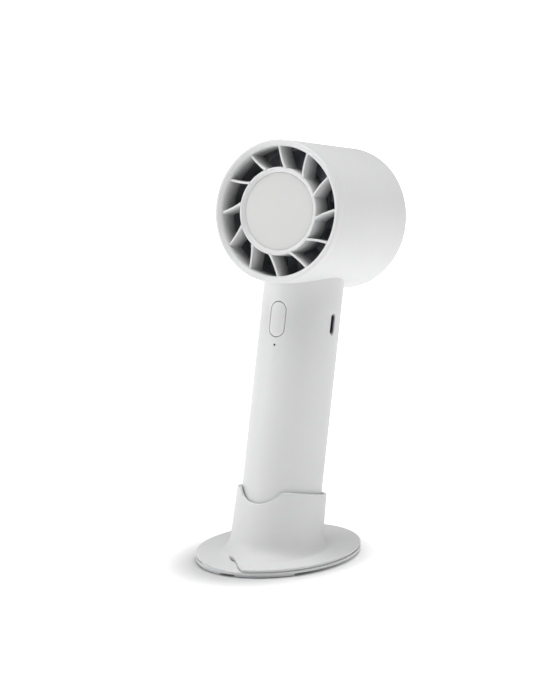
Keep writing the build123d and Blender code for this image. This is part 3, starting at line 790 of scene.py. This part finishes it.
    def ramp(self) -> Grid:
        """Floor of the notch, which climbs gently from the right wall's foot to the left's top.

        Each row joins the two walls, and the first rows bulge out to the oval.  The height
        is low + (level - low) * (3 u^2 - 2 u^3), with u from right to left, and the front
        edge is a quarter circle.

        Returns:
            Closed grid: a row goes over the top and back underneath.
        """
        rows, columns = self.ramp_grid
        share = np.linspace(0, 1, rows) ** self.ramp_crowd
        right, left = (
            np.stack([np.interp(share, np.linspace(0, 1, len(wall)), column) for column in wall.T], -1)
            for wall in self.walls())
        u = np.linspace(0, 1, columns)
        plan = right[:, None] + (left - right)[:, None] * u[:, None]
        oval = -self.half_y * np.sqrt(1 - (plan[0, :, 0] / self.half_x) ** 2)
        plan[..., 1] += (oval - plan[0, :, 1]) * (1 - share[:, None]) ** 2
        level = self.rise(self.meeting(left)[2])[:, None]
        base = self.low + self.ramp_gap
        height = base + (level - base) * (3 * u**2 - 2 * u**3)
        depth = np.minimum(share * self.ramp_ease, self.rim_round)[:, None]
        height -= self.rim_round - np.sqrt(self.rim_round**2 - (self.rim_round - depth) ** 2)
        under = np.full(height.shape, self.low - self.ramp_sunk)
        top = np.dstack([plan, np.maximum(height, base - self.ramp_gap / 2)])
        grid = np.concatenate([top, np.dstack([plan, under])[:, ::-1]], axis=1)
        ends = grid[[0, -1]].copy()
        ends[..., 2] = self.low - self.ramp_sunk
        return np.concatenate([ends[:1], grid, ends[1:]])

    def rim(self, x: Grid, front: Grid) -> Grid:
        """Height of the socket's rim along the handle: flat, with a round scoop in front.

        The scoop is the lower arc of a circle, and two small arcs turn it into the rim.

        Args:
            x: Distance across.
            front: Whether each point is on the front side.

        Returns:
            The heights.
        """
        x = abs(x)
        top_r, corner = self.scoop_r, self.scoop_corner
        middle = self.scoop_low + top_r
        drop = middle - self.rim_s + corner
        knee = math.sqrt((top_r + corner) ** 2 - drop**2)
        meet = knee * top_r / (top_r + corner)
        arc = middle - np.sqrt(np.maximum(top_r**2 - x**2, 0))
        bend = self.rim_s - corner + np.sqrt(np.maximum(corner**2 - (x - knee) ** 2, 0))
        scoop = np.where(x < meet, arc, np.where(x < knee, bend, self.rim_s))
        return np.where(front, scoop, self.rim_s)

    def cover(self) -> Piece:
        """Upper moulding as one grid of rings round the plan's eye.

        The rings run from the underside out to the undercut rim, over its rounding, in
        over the top, up the flare and the tube, over the scooped lip, down the bore and
        across the socket's floor.
        """
        edge, normal, inside = self.outline()
        place = self.layout
        ease = self.rim_round - (self.rim_round - self.notch_round) * inside
        eye = np.array([0, self.eye_y])
        ray, far, begin = self.meeting(edge - ease[:, None] * normal)
        level = self.rise(begin)

        def ring(plan: Grid, height: Grid | float) -> Grid:
            """Ring of points from a plan and heights."""
            return np.column_stack([plan, np.broadcast_to(height, len(plan))])

        undercut = (self.reveal * (1 - inside))[:, None] * normal
        rings = [ring(np.broadcast_to(eye, edge.shape), self.low), ring(edge - undercut, self.low),
                 ring(edge - undercut * 0.9, self.low + 0.1), ring(edge - undercut * 0.12, self.skirt)]
        for inset, drop in quarter(6):
            rings.append(ring(edge - ease[:, None] * inset * normal, level - ease * drop))
        foot = np.minimum(far, self.reach(np.zeros(len(far)), ray))
        for share in (0.2, 0.5, 0.8):
            rings.append(ring(eye + ray * (far + (foot - far) * share)[:, None], level))
        for share in np.linspace(0, 1, 22):
            angle = begin + (math.pi / 2 - begin) * share
            rings.append(ring(eye + ray * self.reach(angle, ray)[:, None], self.rise(angle)))
        half_x, middle, half_y = self.section(self.flare_top)
        turn = np.arctan2(rings[-1][:, 0] / half_x, (middle - rings[-1][:, 1]) / half_y)
        front = np.cos(turn) > 0
        height = np.full(len(turn), self.rim_s)
        for _ in range(ROUNDS):
            tube = self.tube(turn, height)
            goal = self.rim(tube[:, 0], front) - self.lip_round
            height = height + 0.9 * (goal - place.to_fan(tube)[:, 2])
        for share in np.linspace(0, 1, 9)[1:]:
            rings.append(self.tube(turn, self.flare_top + (height - self.flare_top) * share))
        outer = place.to_fan(rings[-1])[:, :2]
        inner = np.stack([self.bore_x * np.sin(turn), -self.bore_y * np.cos(turn)], -1)
        thick = np.linalg.norm(inner - outer, axis=1)
        for near, away, order in ((outer, inner, 1), (inner, outer, -1)):
            for inset, drop in self.lip_round * quarter(6)[::order]:
                plan = near + (away - near) * (inset / thick)[:, None]
                rings.append(place.fan(ring(plan, self.rim(plan[:, 0], front) - drop)))
        edge_s = self.rim(inner[:, 0], front) - self.lip_round
        for share in (0.33, 0.66, 1.0):
            rings.append(place.fan(ring(inner, edge_s + (self.floor_s - edge_s) * share)))
        rings.append(place.fan(ring(0 * inner, self.floor_s)))
        return whole("stand_socket_cover", as_is, np.stack(rings), self.ramp())

    def feet(self) -> Piece:
        """Four soft strips that follow the oval under the base.

        The middle line is the oval scaled by the middle of the band, between two angles
        from its end; across it stands a rounded rectangle that shrinks at both ends.
        """
        inner, outer = self.foot_band
        size = np.array([self.half_x, self.half_y])
        angle = np.radians(np.linspace(*self.foot_span, self.foot_rows))
        mid, half = (inner + outer) / 2, (outer - inner) / 2
        up = np.broadcast_to([0, 0, self.foot_h / 2], (self.foot_rows, 3))
        share = np.linspace(0, 1, self.foot_rows)
        gap = np.minimum(1, np.minimum(share, 1 - share) * self.foot_ends)
        pinch = np.sqrt(np.clip(1 - (1 - gap) ** 2 * self.foot_pinch, 0, 1))[:, None]
        strips = []
        for flip in ((1, 1), (-1, 1), (1, -1), (-1, -1)):
            plan = np.stack([np.sin(angle), -np.cos(angle)], -1) * size * flip
            path = np.column_stack([plan * mid, np.full(len(angle), self.foot_h / 2)])
            across = np.column_stack([plan * half, np.zeros(len(angle))])
            strips.append(carried(path, across * pinch, up, soft_box(2, 2, self.foot_corner)))
        return whole("rubber_feet_soft", as_is, *strips)

    def screws(self) -> Piece:
        """Four cross-head screws under the base plate."""
        grid = CrossScrew().grid()
        places = [(x, self.layout.foot_y + y, self.foot_h + self.screw_lift)
                  for x in self.screw_x for y in self.screw_y]
        return whole("stand_cross_screws", as_is, *(grid + place for place in places))

    def build(self) -> None:
        """Builds and dresses the stand."""
        settle(self.cover(), "stand", Slot.WHITE_SHELL, "stand_cover")
        settle(self.feet(), "stand", Slot.FOOT_RUBBER, "rubber_feet")
        settle(self.screws(), "stand", Slot.SCREW_STEEL, "stand_screws")


# ---- handle ----
class Facing(Enum):
    """Which way an opening in the handle faces."""

    FRONT = "front"
    RIGHT = "right"


@dataclass(frozen=True)
class Opening:
    """Pill-shaped opening in the handle's wall, inside a block of the wall's grid."""

    facing: Facing
    middle: Pair
    half_width: float
    half_length: float
    angles: Pair
    heights: Pair

    def reach(self, ray: Grid, grow: float = 0.0) -> Grid:
        """Distance from a pill's centre to its outline along unit rays.

        On the straight sides it is width / |across|, and on the round ends it is
        c |along| + sqrt(width^2 - c^2 across^2), with c half of the straight length.

        Args:
            ray: Unit directions (across, along).
            grow: How much larger the outline is than the opening.

        Returns:
            The distances.
        """
        width = self.half_width + grow
        straight = self.half_length - self.half_width
        across, along = abs(ray[:, 0]), abs(ray[:, 1])
        flat = width / np.maximum(across, 1e-9)
        round_end = straight * along + np.sqrt(np.maximum(width**2 - (straight * across) ** 2, 0))
        return np.where(flat * along <= straight, flat, round_end)


@dataclass(frozen=True)
class Handle:
    """Oval tube of the handle with the power button, the lamp's hole and the port's mouth."""

    layout: Layout
    half_x: float = 17.0
    half_y: float = 20.25
    wall: float = 1.8
    low: float = 10.66
    barrel_r: float = 31.73
    columns: int = 240
    button_s: float = 106.2
    button_half: Pair = (3.7, 7.75)
    button_round: float = 0.3
    button_deep: float = 2.6
    stem: Pair = (1.6, 1.4)
    stem_y: float = 16.6
    screw_place: Triple = (12.8, 0, 8.6)
    groove: float = 0.3
    proud: float = 0.1
    edge: float = 0.16
    levels: tuple[float, ...] = (
        10.66, 11.0, 15.0, 22.0, 30.0, 38.0, 46.0, 54.0, 62.0, 70.0, 78.0, 86.0, 93.1, 94.2, 95.2, 96.3,
        97.6, 99.4, 101.2, 102.9, 104.6, 106.2, 107.8, 109.5, 111.2, 113.0, 114.5, 116.1, 118.0)

    def openings(self) -> tuple[Opening, ...]:
        """The button's well, the lamp's hole and the port's mouth."""
        width, length = (half + self.groove for half in self.button_half)
        return (
            Opening(Facing.FRONT, (0, self.button_s), width, length, (-19.5, 19.5), (96.3, 116.1)),
            Opening(Facing.FRONT, (0, 94.7), 0.5, 0.5, (-4.5, 4.5), (93.1, 96.3)),
            Opening(Facing.RIGHT, (-0.2, 106.2), 1.8, 4.8, (79.5, 100.5), (99.4, 113.0)),
        )

    def wrap(self, facing: Facing, offset: Grid, depth: Grid | float) -> Grid:
        """Angle round the oval at which the wall, depth inside, has a given offset."""
        if facing is Facing.FRONT:
            return np.arcsin(np.clip(offset / (self.half_x - depth), -1, 1))
        return np.arccos(np.clip(-offset / (self.half_y - depth), -1, 1))

    def sheet(self, angle: Grid, height: Grid, depth: Grid | float) -> Grid:
        """Oval wall: ((a - d) sin angle, -(b - d) cos angle, height)."""
        x = (self.half_x - depth) * np.sin(angle)
        return np.stack([x, (depth - self.half_y) * np.cos(angle), height + 0 * angle], -1)

    def saddle(self, x: Grid) -> Grid:
        """Height at which the wall meets the barrel: axis height - sqrt(radius^2 - x^2)."""
        return self.layout.head_s - np.sqrt(self.barrel_r**2 - x**2)

    def shell(self) -> Piece:
        """Tube of the handle as two sheets joined at their ends and at the openings.

        Both sheets share one grid of angles and heights.  Cells inside an opening's block
        give way to rings that run from the block's border to the pill, round its edge and
        through the wall.
        """
        skin = Skin(self.layout.fan)
        step = FULL_TURN / self.columns
        angle = np.broadcast_to(step * np.arange(self.columns), (len(self.levels), self.columns))
        height = np.broadcast_to(np.array(self.levels)[:, None], angle.shape)
        keep = np.ones((len(self.levels) - 1, self.columns), bool)
        levels = np.array(self.levels)
        for opening in self.openings():
            first, last = (int(round(math.radians(a) / step)) for a in opening.angles)
            low, high = (int(np.argmin(abs(levels - s))) for s in opening.heights)
            keep[low:high, np.arange(first, last) % self.columns] = False
            self._pierce(skin, opening, step * np.arange(first, last + 1), levels[low:high + 1])
        skin.add(self.sheet(angle, height, 0.0), around=True, keep=keep)
        skin.add(self.sheet(angle, height, self.wall), around=True, keep=keep)
        flat = step * np.arange(self.columns)
        rise = []
        for depth in (0.0, self.wall):
            top = self.saddle((self.half_x - depth) * np.sin(flat))
            share = np.linspace(0, 1, 6)[:, None]
            level = levels[-1] + (top - levels[-1]) * share
            rise.append(self.sheet(np.broadcast_to(flat, level.shape), level, depth))
            skin.add(rise[-1], around=True)
        skin.add(np.stack([rise[0][-1], rise[1][-1]]), around=True)
        ends = [self.sheet(flat, np.full(self.columns, self.low), depth) for depth in (0.0, self.wall)]
        skin.add(np.stack(ends), around=True)
        return skin.piece("handle_tube")

    def _pierce(self, skin: Skin, opening: Opening, angles: Grid, heights: Grid) -> None:
        """Adds the rings of one opening.

        Args:
            skin: The handle's skin.
            opening: The opening.
            angles: Angles of its block's columns.
            heights: Heights of its block's rows.
        """
        across = np.concatenate([angles, np.full(len(heights) - 2, angles[-1]), angles[::-1],
                                 np.full(len(heights) - 2, angles[0])])
        along = np.concatenate([np.full(len(angles), heights[0]), heights[1:-1],
                                np.full(len(angles), heights[-1]), heights[1:-1][::-1]])
        middle = np.array(opening.middle)

        def border(depth: float) -> Grid:
            """Border of the block as (offset, height) about the opening's middle."""
            point = self.sheet(across, along, depth)
            offset = point[:, 0] if opening.facing is Facing.FRONT else point[:, 1]
            return np.stack([offset, along], -1) - middle

        ray = border(0.0)
        ray = ray / np.linalg.norm(ray, axis=1, keepdims=True)

        def ring(flat: Grid, depth: float) -> Grid:
            """Points of the wall at flat places, depth below its outside."""
            offset = flat[:, 0] + middle[0]
            return self.sheet(self.wrap(opening.facing, offset, depth), flat[:, 1] + middle[1], depth)

        rings = [self.sheet(across, along, 0.0)]
        rim = ray * opening.reach(ray, self.edge)[:, None]
        for share in (0.4, 0.75):
            rings.append(ring(border(0.0) * (1 - share) + rim * share, 0.0))
        for depth, grow in self.edge * quarter(5):
            rings.append(ring(ray * opening.reach(ray, grow)[:, None], depth))
        hole = ray * opening.reach(ray)[:, None]
        rings.append(ring(hole, self.wall))
        rings.append(ring(border(self.wall) * 0.5 + hole * 0.5, self.wall))
        rings.append(self.sheet(across, along, self.wall))
        skin.add(np.stack(rings), around=True)

    def button(self) -> Piece:
        """Pill of the button: rings from its middle out, following the handle's oval.

        Its face stands a little proud of the handle, its edge is rounded, and it goes on
        inwards to its flange.
        """
        width, length = self.button_half
        pill = Opening(Facing.FRONT, (0, self.button_s), width, length, (0, 0), (0, 0))
        turn = FULL_TURN * np.arange(180) / 180
        ray = np.stack([np.sin(turn), np.cos(turn)], -1)
        rings = []

        def ring(flat: Grid, depth: float) -> Grid:
            """Ring on the handle's oval, depth below the button's face."""
            wide, deep = self.half_x + self.proud, self.half_y + self.proud
            y = depth - deep * np.sqrt(1 - (flat[:, 0] / wide) ** 2)
            return np.stack([flat[:, 0], y, flat[:, 1] + self.button_s], -1)

        face = pill.reach(ray, -self.button_round)[:, None] * ray
        for share in (0.0, 0.25, 0.5, 0.75, 0.92):
            rings.append(ring(face * share, 0.0))
        for depth, shrink in self.button_round * quarter(6):
            rings.append(ring(ray * pill.reach(ray, -shrink)[:, None], depth))
        outline = ray * pill.reach(ray)[:, None]
        rings += [ring(outline, self.button_deep), ring(0 * outline, self.button_deep)]
        wide, long = self.stem
        stem = turned(rounded([(0, 0), (wide, 0), (wide, long), (0, long)], 0.1), 48)
        stem = np.stack([stem[..., 0], stem[..., 2] - self.stem_y, stem[..., 1] + self.button_s], -1)
        return whole("button_pill", self.layout.fan, np.stack(rings), stem)

    def screws(self) -> Piece:
        """Two cross-head screws in the end cap."""
        grid = CrossScrew(head_h=1.0, length=7.8).grid()
        pair = [grid + np.multiply(self.screw_place, (side, 1, 1)) for side in (-1, 1)]
        return whole("end_cap_cross_screws", self.layout.fan, *pair)

    def build(self) -> None:
        """Builds and dresses the handle."""
        settle(self.shell(), "fan", Slot.WHITE_SHELL, "handle_shell")
        settle(self.button(), "button", Slot.BUTTON_CAP, "power_button")
        settle(self.screws(), "fan", Slot.SCREW_STEEL, "end_cap_screws")


# ---- head ----
@dataclass(frozen=True)
class Head:
    """Barrel with its front bezel, twelve guide vanes, hub and intake grille."""

    layout: Layout
    radius: float = 31.7
    wall: float = 1.3
    front: float = 31.2
    rear: float = -30.8
    bezel: float = 5.0
    seam: float = 0.06
    duct: float = 28.8
    sleeve_back: float = 19.2
    hub_r: float = 19.55
    hub_rim: float = 29.9
    disc_r: float = 17.2
    disc: float = 28.5
    vanes: int = 12
    vane_thick: float = 1.0
    vane_front: float = 30.25
    vane_drop: float = 1.2
    vane_depth: float = 11.0
    vane_root: float = 4.7
    vane_tip: float = -6.5
    vane_bow: float = 0.35
    # Distances forward of the head's middle where the channel's painted shade is darkest and where it ends.
    fade: Pair = (15.5, 27.6)
    sleeve: float = 1.1
    cup_floor: float = 26.0
    cup_wall: float = 1.7
    cup_hole: float = 2.5
    seat_r: float = 16.0
    seat_h: float = 1.2
    grid_back: float = 1.25
    grid_rim: float = 3.75
    grid_disc: float = 9.2
    bar: Triple = (1.2, 1.8, 0.45)
    spoke: Triple = (1.2, 1.9, 0.45)
    spoke_root: float = 8.5
    ring_radii: tuple[float, ...] = (13.0, 17.0, 21.0, 25.0)
    spokes: int = 12

    def barrel(self) -> Piece:
        """Outer tube, turned from its wall's outline, with a rolled rear edge."""
        inner, seam = self.radius - self.wall, self.front - self.bezel - self.seam
        lip = inner - 0.9
        outline = rounded(
            [(self.radius, seam), (inner, seam), (inner, self.rear + 1.2), (lip, self.rear + 1.2),
             (lip, self.rear), (self.radius, self.rear), (self.radius, 0)],
            [0.1, 0.1, 0.1, 0.15, 0.2, 0.9, 0], closed=True)
        return whole("barrel_tube", self.layout.head, turned(outline))

    def vane(self, turn: float) -> Grid:
        """One guide vane from the hub to the sleeve.

        Its middle line is the straight line from root to tip plus 4 bow t (1 - t) across
        it.  Its section is a rounded strip that thickens by the sixth power of the distance
        from mid-span, and its front edge falls back by drop * t^1.5 towards the tip.

        Args:
            turn: Angle of the vane, in degrees clockwise seen from the front.

        Returns:
            Grid in head coordinates.
        """
        root, tip = math.radians(self.vane_root + turn), math.radians(self.vane_tip + turn)
        start = np.array([math.sin(root), math.cos(root)]) * (self.hub_r - 0.3)
        end = np.array([math.sin(tip), math.cos(tip)]) * (self.duct + 0.3)
        along = (end - start) / np.linalg.norm(end - start)
        side = np.array([-along[1], along[0]])
        t = np.linspace(0, 1, 18)[:, None]
        plan = start + (end - start) * t + side * 4 * self.vane_bow * t * (1 - t)
        depth = self.vane_depth - self.vane_drop * t**1.5
        path = np.column_stack([plan, self.vane_front - self.vane_depth + depth / 2])
        slope = np.gradient(plan, axis=0)
        slope /= np.linalg.norm(slope, axis=1, keepdims=True)
        across = np.column_stack([-slope[:, 1], slope[:, 0], np.zeros(len(t))])
        across *= 1 + 0.45 * abs(2 * t - 1) ** 6
        up = np.column_stack([0 * t, 0 * t, depth / self.vane_depth])
        return carried(path, across, up, soft_box(self.vane_thick, self.vane_depth, 0.32))

    def grille(self) -> Piece:
        """Front moulding: rolled bezel and sleeve, vanes and the motor's cup."""
        seam = self.front - self.bezel
        outer = self.duct + self.sleeve
        bezel = rounded(
            [(self.radius, seam), (self.radius, self.front - 0.9), (self.radius - 0.3, self.front - 0.25),
             (self.radius - 0.9, self.front), (self.radius - 1.4, self.front - 0.1),
             (self.duct + 0.3, self.front - 1.2), (self.duct, self.front - 2.2),
             (self.duct, self.sleeve_back), (outer, self.sleeve_back), (outer, seam)],
            [0.1, 0.5, 0.4, 0.4, 0.4, 0.6, 0.6, 0.25, 0.25, 0.1], closed=True)
        floor, step = self.cup_floor, self.disc - self.seat_h
        inner, side = self.hub_r - self.cup_wall, self.disc_r + 0.05
        cup = rounded(
            [(self.hub_r, self.sleeve_back), (self.hub_r, self.hub_rim), (self.hub_r - 0.9, self.hub_rim),
             (side, self.disc), (side, step), (self.seat_r, step), (self.seat_r, floor),
             (self.cup_hole, floor), (self.cup_hole, floor - 1.6), (inner, floor - 1.6),
             (inner, self.sleeve_back)],
            [0.3, 0.4, 0.3, 0.1, 0, 0, 0.2, 0, 0, 0.4, 0.3], closed=True)
        vanes = [self.vane(360 / self.vanes * number) for number in range(self.vanes)]
        return whole("guide_vane_grille", self.layout.head, turned(bezel), turned(cup), *vanes)

    def dress_channel(self, grille: Piece) -> None:
        """Gives the walls of the air channel a finish with painted shade that darkens them further back.

        A face is in the channel if its middle lies between the hub's side and the sleeve.

        Args:
            grille: The front moulding, dressed with the shell's finish.
        """
        mesh = grille.data
        middle = np.empty(len(mesh.polygons) * 3)
        mesh.polygons.foreach_get("center", middle)
        fan = self.layout.to_fan(middle.reshape(-1, 3) / MM)
        radius = np.hypot(fan[:, 0], fan[:, 2] - self.layout.head_s)
        inside = (radius > self.hub_r - 0.3) & (radius < self.duct + 0.2) & (-fan[:, 1] < self.front - 0.8)
        axis = (0.0, -self.layout.cosine, self.layout.sine)
        zero = float(self.layout.head(np.zeros(3)) @ np.array(axis))
        dark, pale = self.fade
        finish = ChannelPlastic(Slot.WHITE_SHELL.value.colour, axis=axis, span=(zero + dark, zero + pale))
        mesh.materials.append(finish.make("finish_air_channel"))
        # Faces in the channel take the painted shade.
        mesh.polygons.foreach_set("material_index", inside.astype(np.int32))
        mesh.update()

    def hub_cap(self) -> Piece:
        """Flat cap in the hub, turned, its edge eased."""
        r, top = self.disc_r, self.disc
        outline = rounded([(0, top), (r, top), (r, top - 1.1), (0, top - 1.1)], [0, 0.22, 0.1, 0])
        outline = np.insert(outline, 1, [(r * 0.5, top), (r * 0.9, top)], axis=0)
        return whole("hub_disc_cap", self.layout.head, turned(outline))

    def intake(self) -> Piece:
        """Rear grille: a rim, four rings, twelve spokes and a domed disc, all rounded."""
        low, radius = self.rear + self.grid_back, self.grid_disc
        rim_in, rim_out = self.duct + 0.2, self.radius - self.wall - 0.1
        high = low + self.grid_rim
        rim = rounded([(rim_out, low), (rim_out, high), (rim_in, high), (rim_in, low)],
                      [0.2, 0.3, 0.3, 0.5], closed=True)
        rings = [turned(soft_box(*self.bar) + (out, low + self.bar[1] / 2), 160) for out in self.ring_radii]
        disc = rounded([(0, low), (8.0, low + 0.25), (radius, low + 0.7), (radius, low + 2.2),
                        (0, low + 2.2)], [0, 3.0, 0.4, 0.3, 0])
        spokes = []
        share = np.linspace(0, 1, 12)[:, None]
        for number in range(self.spokes):
            turn = FULL_TURN / self.spokes * number
            out = np.array([math.sin(turn), math.cos(turn), 0])
            path = out * (self.spoke_root + (self.duct + 0.8 - self.spoke_root) * share) + (0, 0, low + 1.25)
            side = np.broadcast_to([math.cos(turn), -math.sin(turn), 0], path.shape)
            up = np.broadcast_to([0, 0, 1.0], path.shape)
            spokes.append(carried(path, side, up, soft_box(*self.spoke)))
        return whole("intake_grille", self.layout.head, turned(rim), *rings, turned(disc), *spokes)

    def build(self) -> None:
        """Builds and dresses the head."""
        settle(self.barrel(), "fan", Slot.WHITE_SHELL, "head_barrel")
        self.dress_channel(settle(self.grille(), "fan", Slot.WHITE_SHELL, "front_grille"))
        settle(self.hub_cap(), "fan", Slot.HUB_DISC, "hub_cap")
        settle(self.intake(), "fan", Slot.WHITE_SHELL, "rear_grille")


@dataclass(frozen=True)
class Rotor:
    """Impeller: a hub with a domed nose and eleven twisted, cambered blades."""

    layout: Layout
    hub_r: float = 19.4
    front: float = 17.4
    nose: float = -12.0
    nose_r: float = 26.0
    dome_turn: Pair = (48.2, 47.0)
    dome_foot: Pair = (-2.4, -2.6)
    wall: float = 1.2
    web: Pair = (7.1, 5.4)
    shaft_r: float = 3.1
    blade_middle: float = 7.4
    tip_r: float = 28.2
    blades: int = 11
    phase: float = 0.285
    chords: Pair = (22.0, 24.6)
    pitches: Pair = (42.0, 64.0)
    thick: Pair = (1.7, 1.0)
    camber: float = 0.06

    def hub(self) -> Grid:
        """Hub turned from its outline: dome, drum, and the hollow that takes the motor."""
        inner, small = self.hub_r - self.wall, self.nose_r - self.wall
        top, bottom = self.web
        outside, inside = self.dome_foot
        bend = np.linspace(0, math.radians(self.dome_turn[0]), 24)
        dome = np.stack([self.nose_r * np.sin(bend), self.nose + self.nose_r * (1 - np.cos(bend))], -1)
        hollow = np.linspace(math.radians(self.dome_turn[1]), 0, 16)
        under = np.stack([small * np.sin(hollow), self.nose + self.wall + small * (1 - np.cos(hollow))], -1)
        drum = rounded([(self.hub_r, outside), (self.hub_r, self.front), (inner, self.front), (inner, top),
                        (self.shaft_r, top), (self.shaft_r, bottom), (inner, bottom), (inner, inside)],
                       [0, 0.3, 0.3, 0.3, 0, 0, 0.3, 0])
        return turned(np.vstack([dome, drum, under]))

    def blade(self, turn: float) -> Grid:
        """One blade, wrapped round the hub.

        At each radius the section is a thin wing: thickness falls as sqrt(1 - u^2) towards
        both edges and its middle line bows by camber * chord * (1 - u^2).  Chord and pitch
        change evenly from root to tip, and the tangential offset becomes offset / radius.

        Args:
            turn: Angle of the blade in radians.

        Returns:
            Grid in head coordinates.
        """
        share = np.linspace(0, 1, 14)[:, None]
        radius = self.hub_r - 0.5 + (self.tip_r - self.hub_r + 0.5) * share
        chord = self.chords[0] + (self.chords[1] - self.chords[0]) * share
        pitch = np.radians(self.pitches[0] + (self.pitches[1] - self.pitches[0]) * share)
        thick = self.thick[0] + (self.thick[1] - self.thick[0]) * share
        loop = FULL_TURN * np.arange(41) / 40
        along = np.cos(loop) / 2
        lift = np.sin(loop) / 2 * thick + self.camber * chord * (1 - (2 * along) ** 2)
        offset = chord * along * np.sin(pitch) + lift * np.cos(pitch)
        forward = self.blade_middle - chord * along * np.cos(pitch) + lift * np.sin(pitch)
        angle = turn - offset / radius
        body = np.stack([radius * np.sin(angle), radius * np.cos(angle), forward], -1)
        ends = [np.broadcast_to(body[row].mean(0), body[row].shape)[None] for row in (0, -1)]
        return np.concatenate([ends[0], body, ends[1]])

    def build(self) -> None:
        """Builds and dresses the impeller."""
        blades = [self.blade(FULL_TURN * number / self.blades + self.phase) for number in range(self.blades)]
        piece = whole("impeller_blades", self.layout.head, self.hub(), *blades)
        settle(piece, "impeller", Slot.DARK_IMPELLER, "impeller")


# ---- parts kept from the CAD ----
@dataclass(frozen=True)
class Inside:
    """The CAD nodes that keep their own shape and get a worked finish."""

    nodes: dict[str, Piece]
    subparts: Sequence[dict]

    def build(self) -> None:
        """Puts the finish of each node's slot in the record on the node."""
        finishes = {slot.label: slot for slot in Slot}
        slots = {part["node"]: part["material_slot"] for part in self.subparts}
        for name, node in sorted(self.nodes.items()):
            if node.hide_render:
                continue
            material = finishes[slots[name]].material()
            node.data.materials.clear()
            node.data.materials.append(material)
            log.info("%s: %s", name, material.name)


# ---- studio ----
@dataclass(frozen=True)
class Panel:
    """Soft square light that faces the object."""

    name: str
    place: Triple
    size: float
    power: float

    def build(self, aim: Vector) -> None:
        """Makes the light.

        Args:
            aim: The point that it faces, in metres.
        """
        data = bpy.data.lights.new(self.name, "AREA")
        data.shape, data.size, data.energy = "SQUARE", self.size, self.power
        lamp = bpy.data.objects.new(self.name, data)
        lamp.location = self.place
        lamp.rotation_euler = (aim - Vector(self.place)).to_track_quat("-Z", "Y").to_euler()
        bpy.context.scene.collection.objects.link(lamp)


@dataclass(frozen=True)
class Studio:
    """White floor with a painted contact shadow round the base, soft light from all round and the camera."""

    camera_place: Triple = (0.9583, -1.5717, 0.4897)
    camera_aim: Triple = (-0.0120, 0.01226, 0.0902)
    lens: float = 218.0
    sky: float = 0.20
    # The floor's own light under the base, round it and far off; the weaker light under and round the base paints
    # a contact shadow.
    glow: Triple = (0.0, 0.28, 0.38)
    footprint: Pair = (34.0, 45.0)
    shadow: Pair = (0.84, 1.38)
    shadow_shift: Triple = (0.05, 0.22, 0.0)
    horizon: Pair = (2.5, 16.0)
    floor_half: float = 9000.0
    floor_clouds: float = 900.0
    # The floor's colour in the painted shadow and away from the base.
    floor_tones: tuple[Triple, Triple] = ((0.62, 0.62, 0.625), (0.94, 0.94, 0.94))
    lamp_aim: Triple = (0, 0, 0.1)
    clip_end: float = 30.0
    panels: tuple[Panel, ...] = (
        Panel("key_panel", (-1.35, -1.05, 0.90), 1.1, 13.2),
        Panel("right_panel", (1.6, 0.3, 1.0), 0.9, 1.8),
        Panel("top_panel", (0.1, 0.1, 1.9), 1.6, 32.0),
    )

    def floor(self) -> None:
        """Large plain floor, self-lit so that it stays pale, darker round the base as a painted contact shadow.

        Its tone and its own light grow with the oval distance sqrt((x/a + p)^2 + (y/b + q)^2)
        from the base, quickly round the base and then slowly out to the horizon.
        """
        skin = Skin()
        side = np.array([-self.floor_half, self.floor_half])
        x, y = np.meshgrid(side, side)
        skin.add(np.stack([x, y, 0 * x], -1))
        floor = skin.piece("studio_floor")
        recipe = Recipe("studio_white")
        away = recipe.distance((1 / self.footprint[0], 1 / self.footprint[1], 1), self.shadow_shift)
        tone = recipe.total(recipe.spread(away, 0, 1, self.shadow),
                            recipe.spread(recipe.noise(self.floor_clouds, 1.0), -0.01, 0.01))
        recipe.set("Base Color", recipe.mixed(tone, *self.floor_tones))
        recipe.set("Roughness", 0.9)
        recipe.set("Specular IOR Level", 0.1)
        recipe.set("Emission Color", (1, 1, 1, 1))
        under, around, far = self.glow
        near = recipe.spread(away, under, around, self.shadow)
        recipe.set("Emission Strength", recipe.total(near, recipe.spread(away, 0.0, far, self.horizon)))
        floor.data.materials.append(recipe.material)

    def build(self) -> None:
        """Makes the floor, the world, the lights and the camera."""
        self.floor()
        world = bpy.data.worlds.new("studio_air")
        world.use_nodes = True
        sky = world.node_tree.nodes["Background"]
        sky.inputs["Color"].default_value = (1, 1, 1, 1)
        sky.inputs["Strength"].default_value = self.sky
        bpy.context.scene.world = world
        for panel in self.panels:
            panel.build(Vector(self.lamp_aim))
        data = bpy.data.cameras.new("studio_camera")
        data.lens, data.sensor_width, data.clip_end = self.lens, 36.0, self.clip_end
        camera = bpy.data.objects.new("studio_camera", data)
        camera.location = self.camera_place
        heading = Vector(self.camera_aim) - Vector(self.camera_place)
        camera.rotation_euler = heading.to_track_quat("-Z", "Y").to_euler()
        bpy.context.scene.collection.objects.link(camera)
        bpy.context.scene.camera = camera
        bpy.context.scene.view_settings.view_transform = "Standard"


def main() -> None:
    """Builds the stand, the handle, the head, the rotor, the inner parts and the studio."""
    logging.basicConfig(level=logging.INFO, format="%(name)s: %(message)s")
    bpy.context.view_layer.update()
    layout = Layout.from_joints(frame["joints"])
    Stand(layout).build()
    Handle(layout).build()
    Head(layout).build()
    Rotor(layout).build()
    Inside(frame["nodes"], frame["record"]["subparts"]).build()
    Studio().build()


if __name__ == "__main__":
    main()
